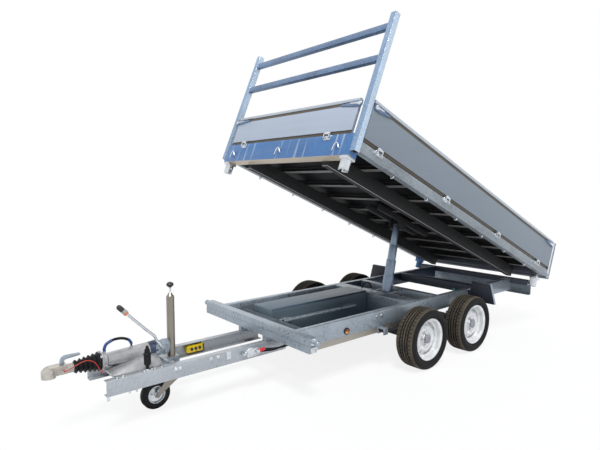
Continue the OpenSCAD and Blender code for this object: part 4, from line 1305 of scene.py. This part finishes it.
class TRAILER_OT_bed_fittings(bpy.types.Operator):
    """Bolts and rivets of the bed"""

    bl_idname = "trailer.bed_fittings"
    bl_label = "Bed fittings"

    def execute(self, context):
        size = context.scene.trailer_sizes.bolt / MM
        bm = bmesh.new()
        for side in (1, -1):
            for u in HINGE_PLATES:
                for near in (-44, 44):
                    bolt(bm, (u + near, BED_FACE * side, 170), (0, side, 0), size * 0.7)
        fitting("bed_bolts", bm, place=BED, body="bed")
        self.hinge_plates()
        self.rope_hooks()
        self.tail_catches()
        return {"FINISHED"}

    def hinge_plates(self):
        """A folded plate on the rail below each pair of lugs."""
        bm = bmesh.new()
        for side in (1, -1):
            for u in HINGE_PLATES:
                ends = sorted(((BED_FACE - 0.5) * side, (BED_FACE + 4.5) * side))
                box(bm, (u - 36, ends[0], 158), (u + 36, ends[1], 192), 2.0)
                hinge_pin(bm, u, side, 20, 9.6, 24, 1.0)
        bmesh.ops.recalc_face_normals(bm, faces=bm.faces)
        fitting("hinge_plates", bm, place=BED, body="bed")
        bm = bmesh.new()
        for v in (-550, 550):
            box(bm, (BOARD_FRONT - 0.5, v - 36, 196), (BOARD_FRONT + 4.5, v + 36, 232), 2.0)
        fitting("front_hinge_plates", bm, place=BED, body="bed")

    def rope_hooks(self):
        """Curled hooks of round bar, on the front plate and under the side rails."""
        lines = []
        for v in (-684, 0, 684):
            route = [(3262, v + 30, 124), (3276, v + 30, 126), (3281, v + 24, 134), (3281, v + 16, 152),
                     (3281, v, 162), (3281, v - 16, 154), (3281, v - 22, 136), (3281, v - 24, 116),
                     (3279, v - 32, 106)]
            lines.append(smooth_route(route, 4))
        made = tube_curve("front_hooks", lines, 5.5, "bright", "bed", BED)
        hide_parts("load_hooks")
        lines = []
        for side in (1, -1):
            for i in range(6):
                u = 244 + (i + 0.5) * 465
                route = [(u, 836 * side, 112), (u, 836 * side, 98)]
                route += [(u, a * side, b) for a, b in arc((848, 98), 12, 180, 395, 8)]
                lines.append([Vector(p) for p in route])
        tube_curve("side_hooks", lines, 5.0, "bright", "bed", BED)

    def tail_catches(self):
        """The lever that holds the tailgate, at the foot of each rear post."""
        bm = bmesh.new()
        for side in (1, -1):
            rod(bm, (-75, BED_FACE * side, 144), (-75, 880 * side, 144), 13, 28, 1.0)
            prism(bm, [(-87, 140), (-79, 106), (-69, 108), (-63, 144)], "Y", 874 * side, 880 * side)
        bmesh.ops.recalc_face_normals(bm, faces=bm.faces)
        fitting("tail_catches", bm, place=BED, body="bed")


class TRAILER_OT_lift_rings(bpy.types.Operator):
    """Gland rings at the top of each stage of the tipping cylinder"""

    bl_idname = "trailer.lift_rings"
    bl_label = "Cylinder rings"

    def execute(self, context):
        axis = Vector(JOINTS["lift_slide_1"]["axis"]).normalized()
        foot = Vector(JOINTS["lift_swing"]["pos_m"])
        turn = axis.to_track_quat("Z", "Y").to_matrix().to_4x4()
        for node in ("lift_barrel", "lift_stage_1", "lift_stage_2", "lift_stage_3"):
            verts = [v.co - foot for v in NODES[node].data.vertices]
            top = max(v.dot(axis) for v in verts)
            wide = max((v - axis * v.dot(axis)).length for v in verts if v.dot(axis) > top - 0.002) / MM
            bm = bmesh.new()
            outline = ((-0.3, -5.4), (2.2, -5), (2.2, -1.6), (1, -0.6), (-0.3, -0.4))
            lathe(bm, [(wide + r, z) for r, z in outline], 64)
            place = Matrix.Translation(foot + axis * top) @ turn
            fitting(node + "_ring", bm, "lift", place, body_of(node))
        return {"FINISHED"}


# The camera of the photograph, from the middle of the axles: place in metres, and its right, up and back
SENSOR_MM, LENS_MM = 36.0, 29.418
CAMERA_AT = (3.82823, 3.22750, 1.59898)
CAMERA_AXES = (
    (-0.76651, 0.64223, 0.00207),
    (-0.05447, -0.06822, 0.99618),
    (0.63992, 0.76347, 0.08728),
)
SKY_LIGHT = (0.36, 0.385, 0.43)
FLOOR_RADIUS = 40.0


class TRAILER_OT_stage(bpy.types.Operator):
    """Camera, floor and soft light"""

    bl_idname = "trailer.stage"
    bl_label = "Stage"

    def execute(self, context):
        scene = context.scene
        self.camera(scene)
        self.world(scene)
        self.floor(scene)
        self.lamp(scene, "key_light", (0.36, 0.45, 1.0), 2.5, 18.0)
        self.lamp(scene, "fill_light", (-0.6, -0.8, 0.9), 0.25, 60.0)
        scene.view_settings.view_transform = "Standard"
        return {"FINISHED"}

    def camera(self, scene):
        data = bpy.data.cameras.new("camera")
        data.sensor_width, data.lens = SENSOR_MM, LENS_MM
        data.clip_start, data.clip_end = 0.05, 200
        camera = bpy.data.objects.new("camera", data)
        turn = Matrix(CAMERA_AXES).transposed().to_4x4()
        camera.matrix_world = CHASSIS @ Matrix.Translation(CAMERA_AT) @ turn
        scene.collection.objects.link(camera)
        scene.camera = camera

    def world(self, scene):
        world = bpy.data.worlds.new("soft_sky")
        scene.world = world
        world.use_nodes = True
        sky = Tree(world.node_tree)
        rays = [sky.node("ShaderNodeLightPath", out=f"Is {kind} Ray") for kind in ("Camera", "Glossy", "Transmission")]
        seen = rays[0] + rays[1] + rays[2]
        sky.into("Background", "Color", sky.mix(seen, SKY_LIGHT, (1, 1, 1)))

    def floor(self, scene):
        bm = bmesh.new()
        bmesh.ops.create_circle(bm, cap_ends=True, segments=96, radius=FLOOR_RADIUS)
        mesh = bpy.data.meshes.new("floor")
        bm.to_mesh(mesh)
        bm.free()
        f = Finish("pale_floor", roughness=0.9)
        grain = f.noise(30.0, 3.0)
        f.feed("Base Color", f.mix(grain, (0.90, 0.90, 0.90), (0.95, 0.95, 0.95)))
        glow = f.node("ShaderNodeEmission", {}, {"Color": (1, 1, 1, 1), "Strength": 1.0}, "Emission")
        away = f.node("ShaderNodeVectorMath", {"operation": "LENGTH"}, {0: f.place}, "Value")
        camera = f.node("ShaderNodeLightPath", out="Is Camera Ray")
        fade = (f.steps(away * 0.1, 0.14, 0.36) * 0.16 + 0.84) * camera
        both = f.node("ShaderNodeMixShader", {}, {0: fade, 1: Wire(f, f.shader.outputs[0]), 2: glow})
        f.into("Material Output", "Surface", both)
        mesh.materials.append(f.material)
        floor = bpy.data.objects.new("floor", mesh)
        scene.collection.objects.link(floor)

    def lamp(self, scene, name, way, strength, spread):
        data = bpy.data.lights.new(name, "SUN")
        data.energy = strength
        data.angle = math.radians(spread)
        lamp = bpy.data.objects.new(name, data)
        lamp.rotation_mode = "QUATERNION"
        lamp.rotation_quaternion = Vector(way).to_track_quat("Z", "Y")
        scene.collection.objects.link(lamp)


class TRAILER_PT_panel(bpy.types.Panel):
    """The trailer's pieces and sizes"""

    bl_idname = "TRAILER_PT_panel"
    bl_label = "Tipper trailer"
    bl_space_type = "VIEW_3D"
    bl_region_type = "UI"
    bl_category = "Trailer"

    def draw(self, context):
        for step in STEPS:
            self.layout.operator(step.bl_idname)
        for group in (context.scene.trailer_sizes, context.scene.trailer_colours):
            for name in group.__annotations__:
                self.layout.prop(group, name)


STEPS = [
    TRAILER_OT_stage, TRAILER_OT_finishes, TRAILER_OT_cords, TRAILER_OT_steelwork, TRAILER_OT_wheels,
    TRAILER_OT_drawbar, TRAILER_OT_lamps, TRAILER_OT_chassis_fittings, TRAILER_OT_bed_fittings, TRAILER_OT_lift_rings,
]
CLASSES = [TrailerColours, TrailerSizes, *STEPS, TRAILER_PT_panel]


def register():
    for cls in CLASSES:
        bpy.utils.register_class(cls)
    bpy.types.Scene.trailer_colours = PointerProperty(type=TrailerColours)
    bpy.types.Scene.trailer_sizes = PointerProperty(type=TrailerSizes)


def unregister():
    del bpy.types.Scene.trailer_sizes
    del bpy.types.Scene.trailer_colours
    for cls in reversed(CLASSES):
        bpy.utils.unregister_class(cls)


def main():
    register()
    for step in STEPS:
        group, name = step.bl_idname.split(".")
        getattr(getattr(bpy.ops, group), name)()


if __name__ == "__main__":
    main()
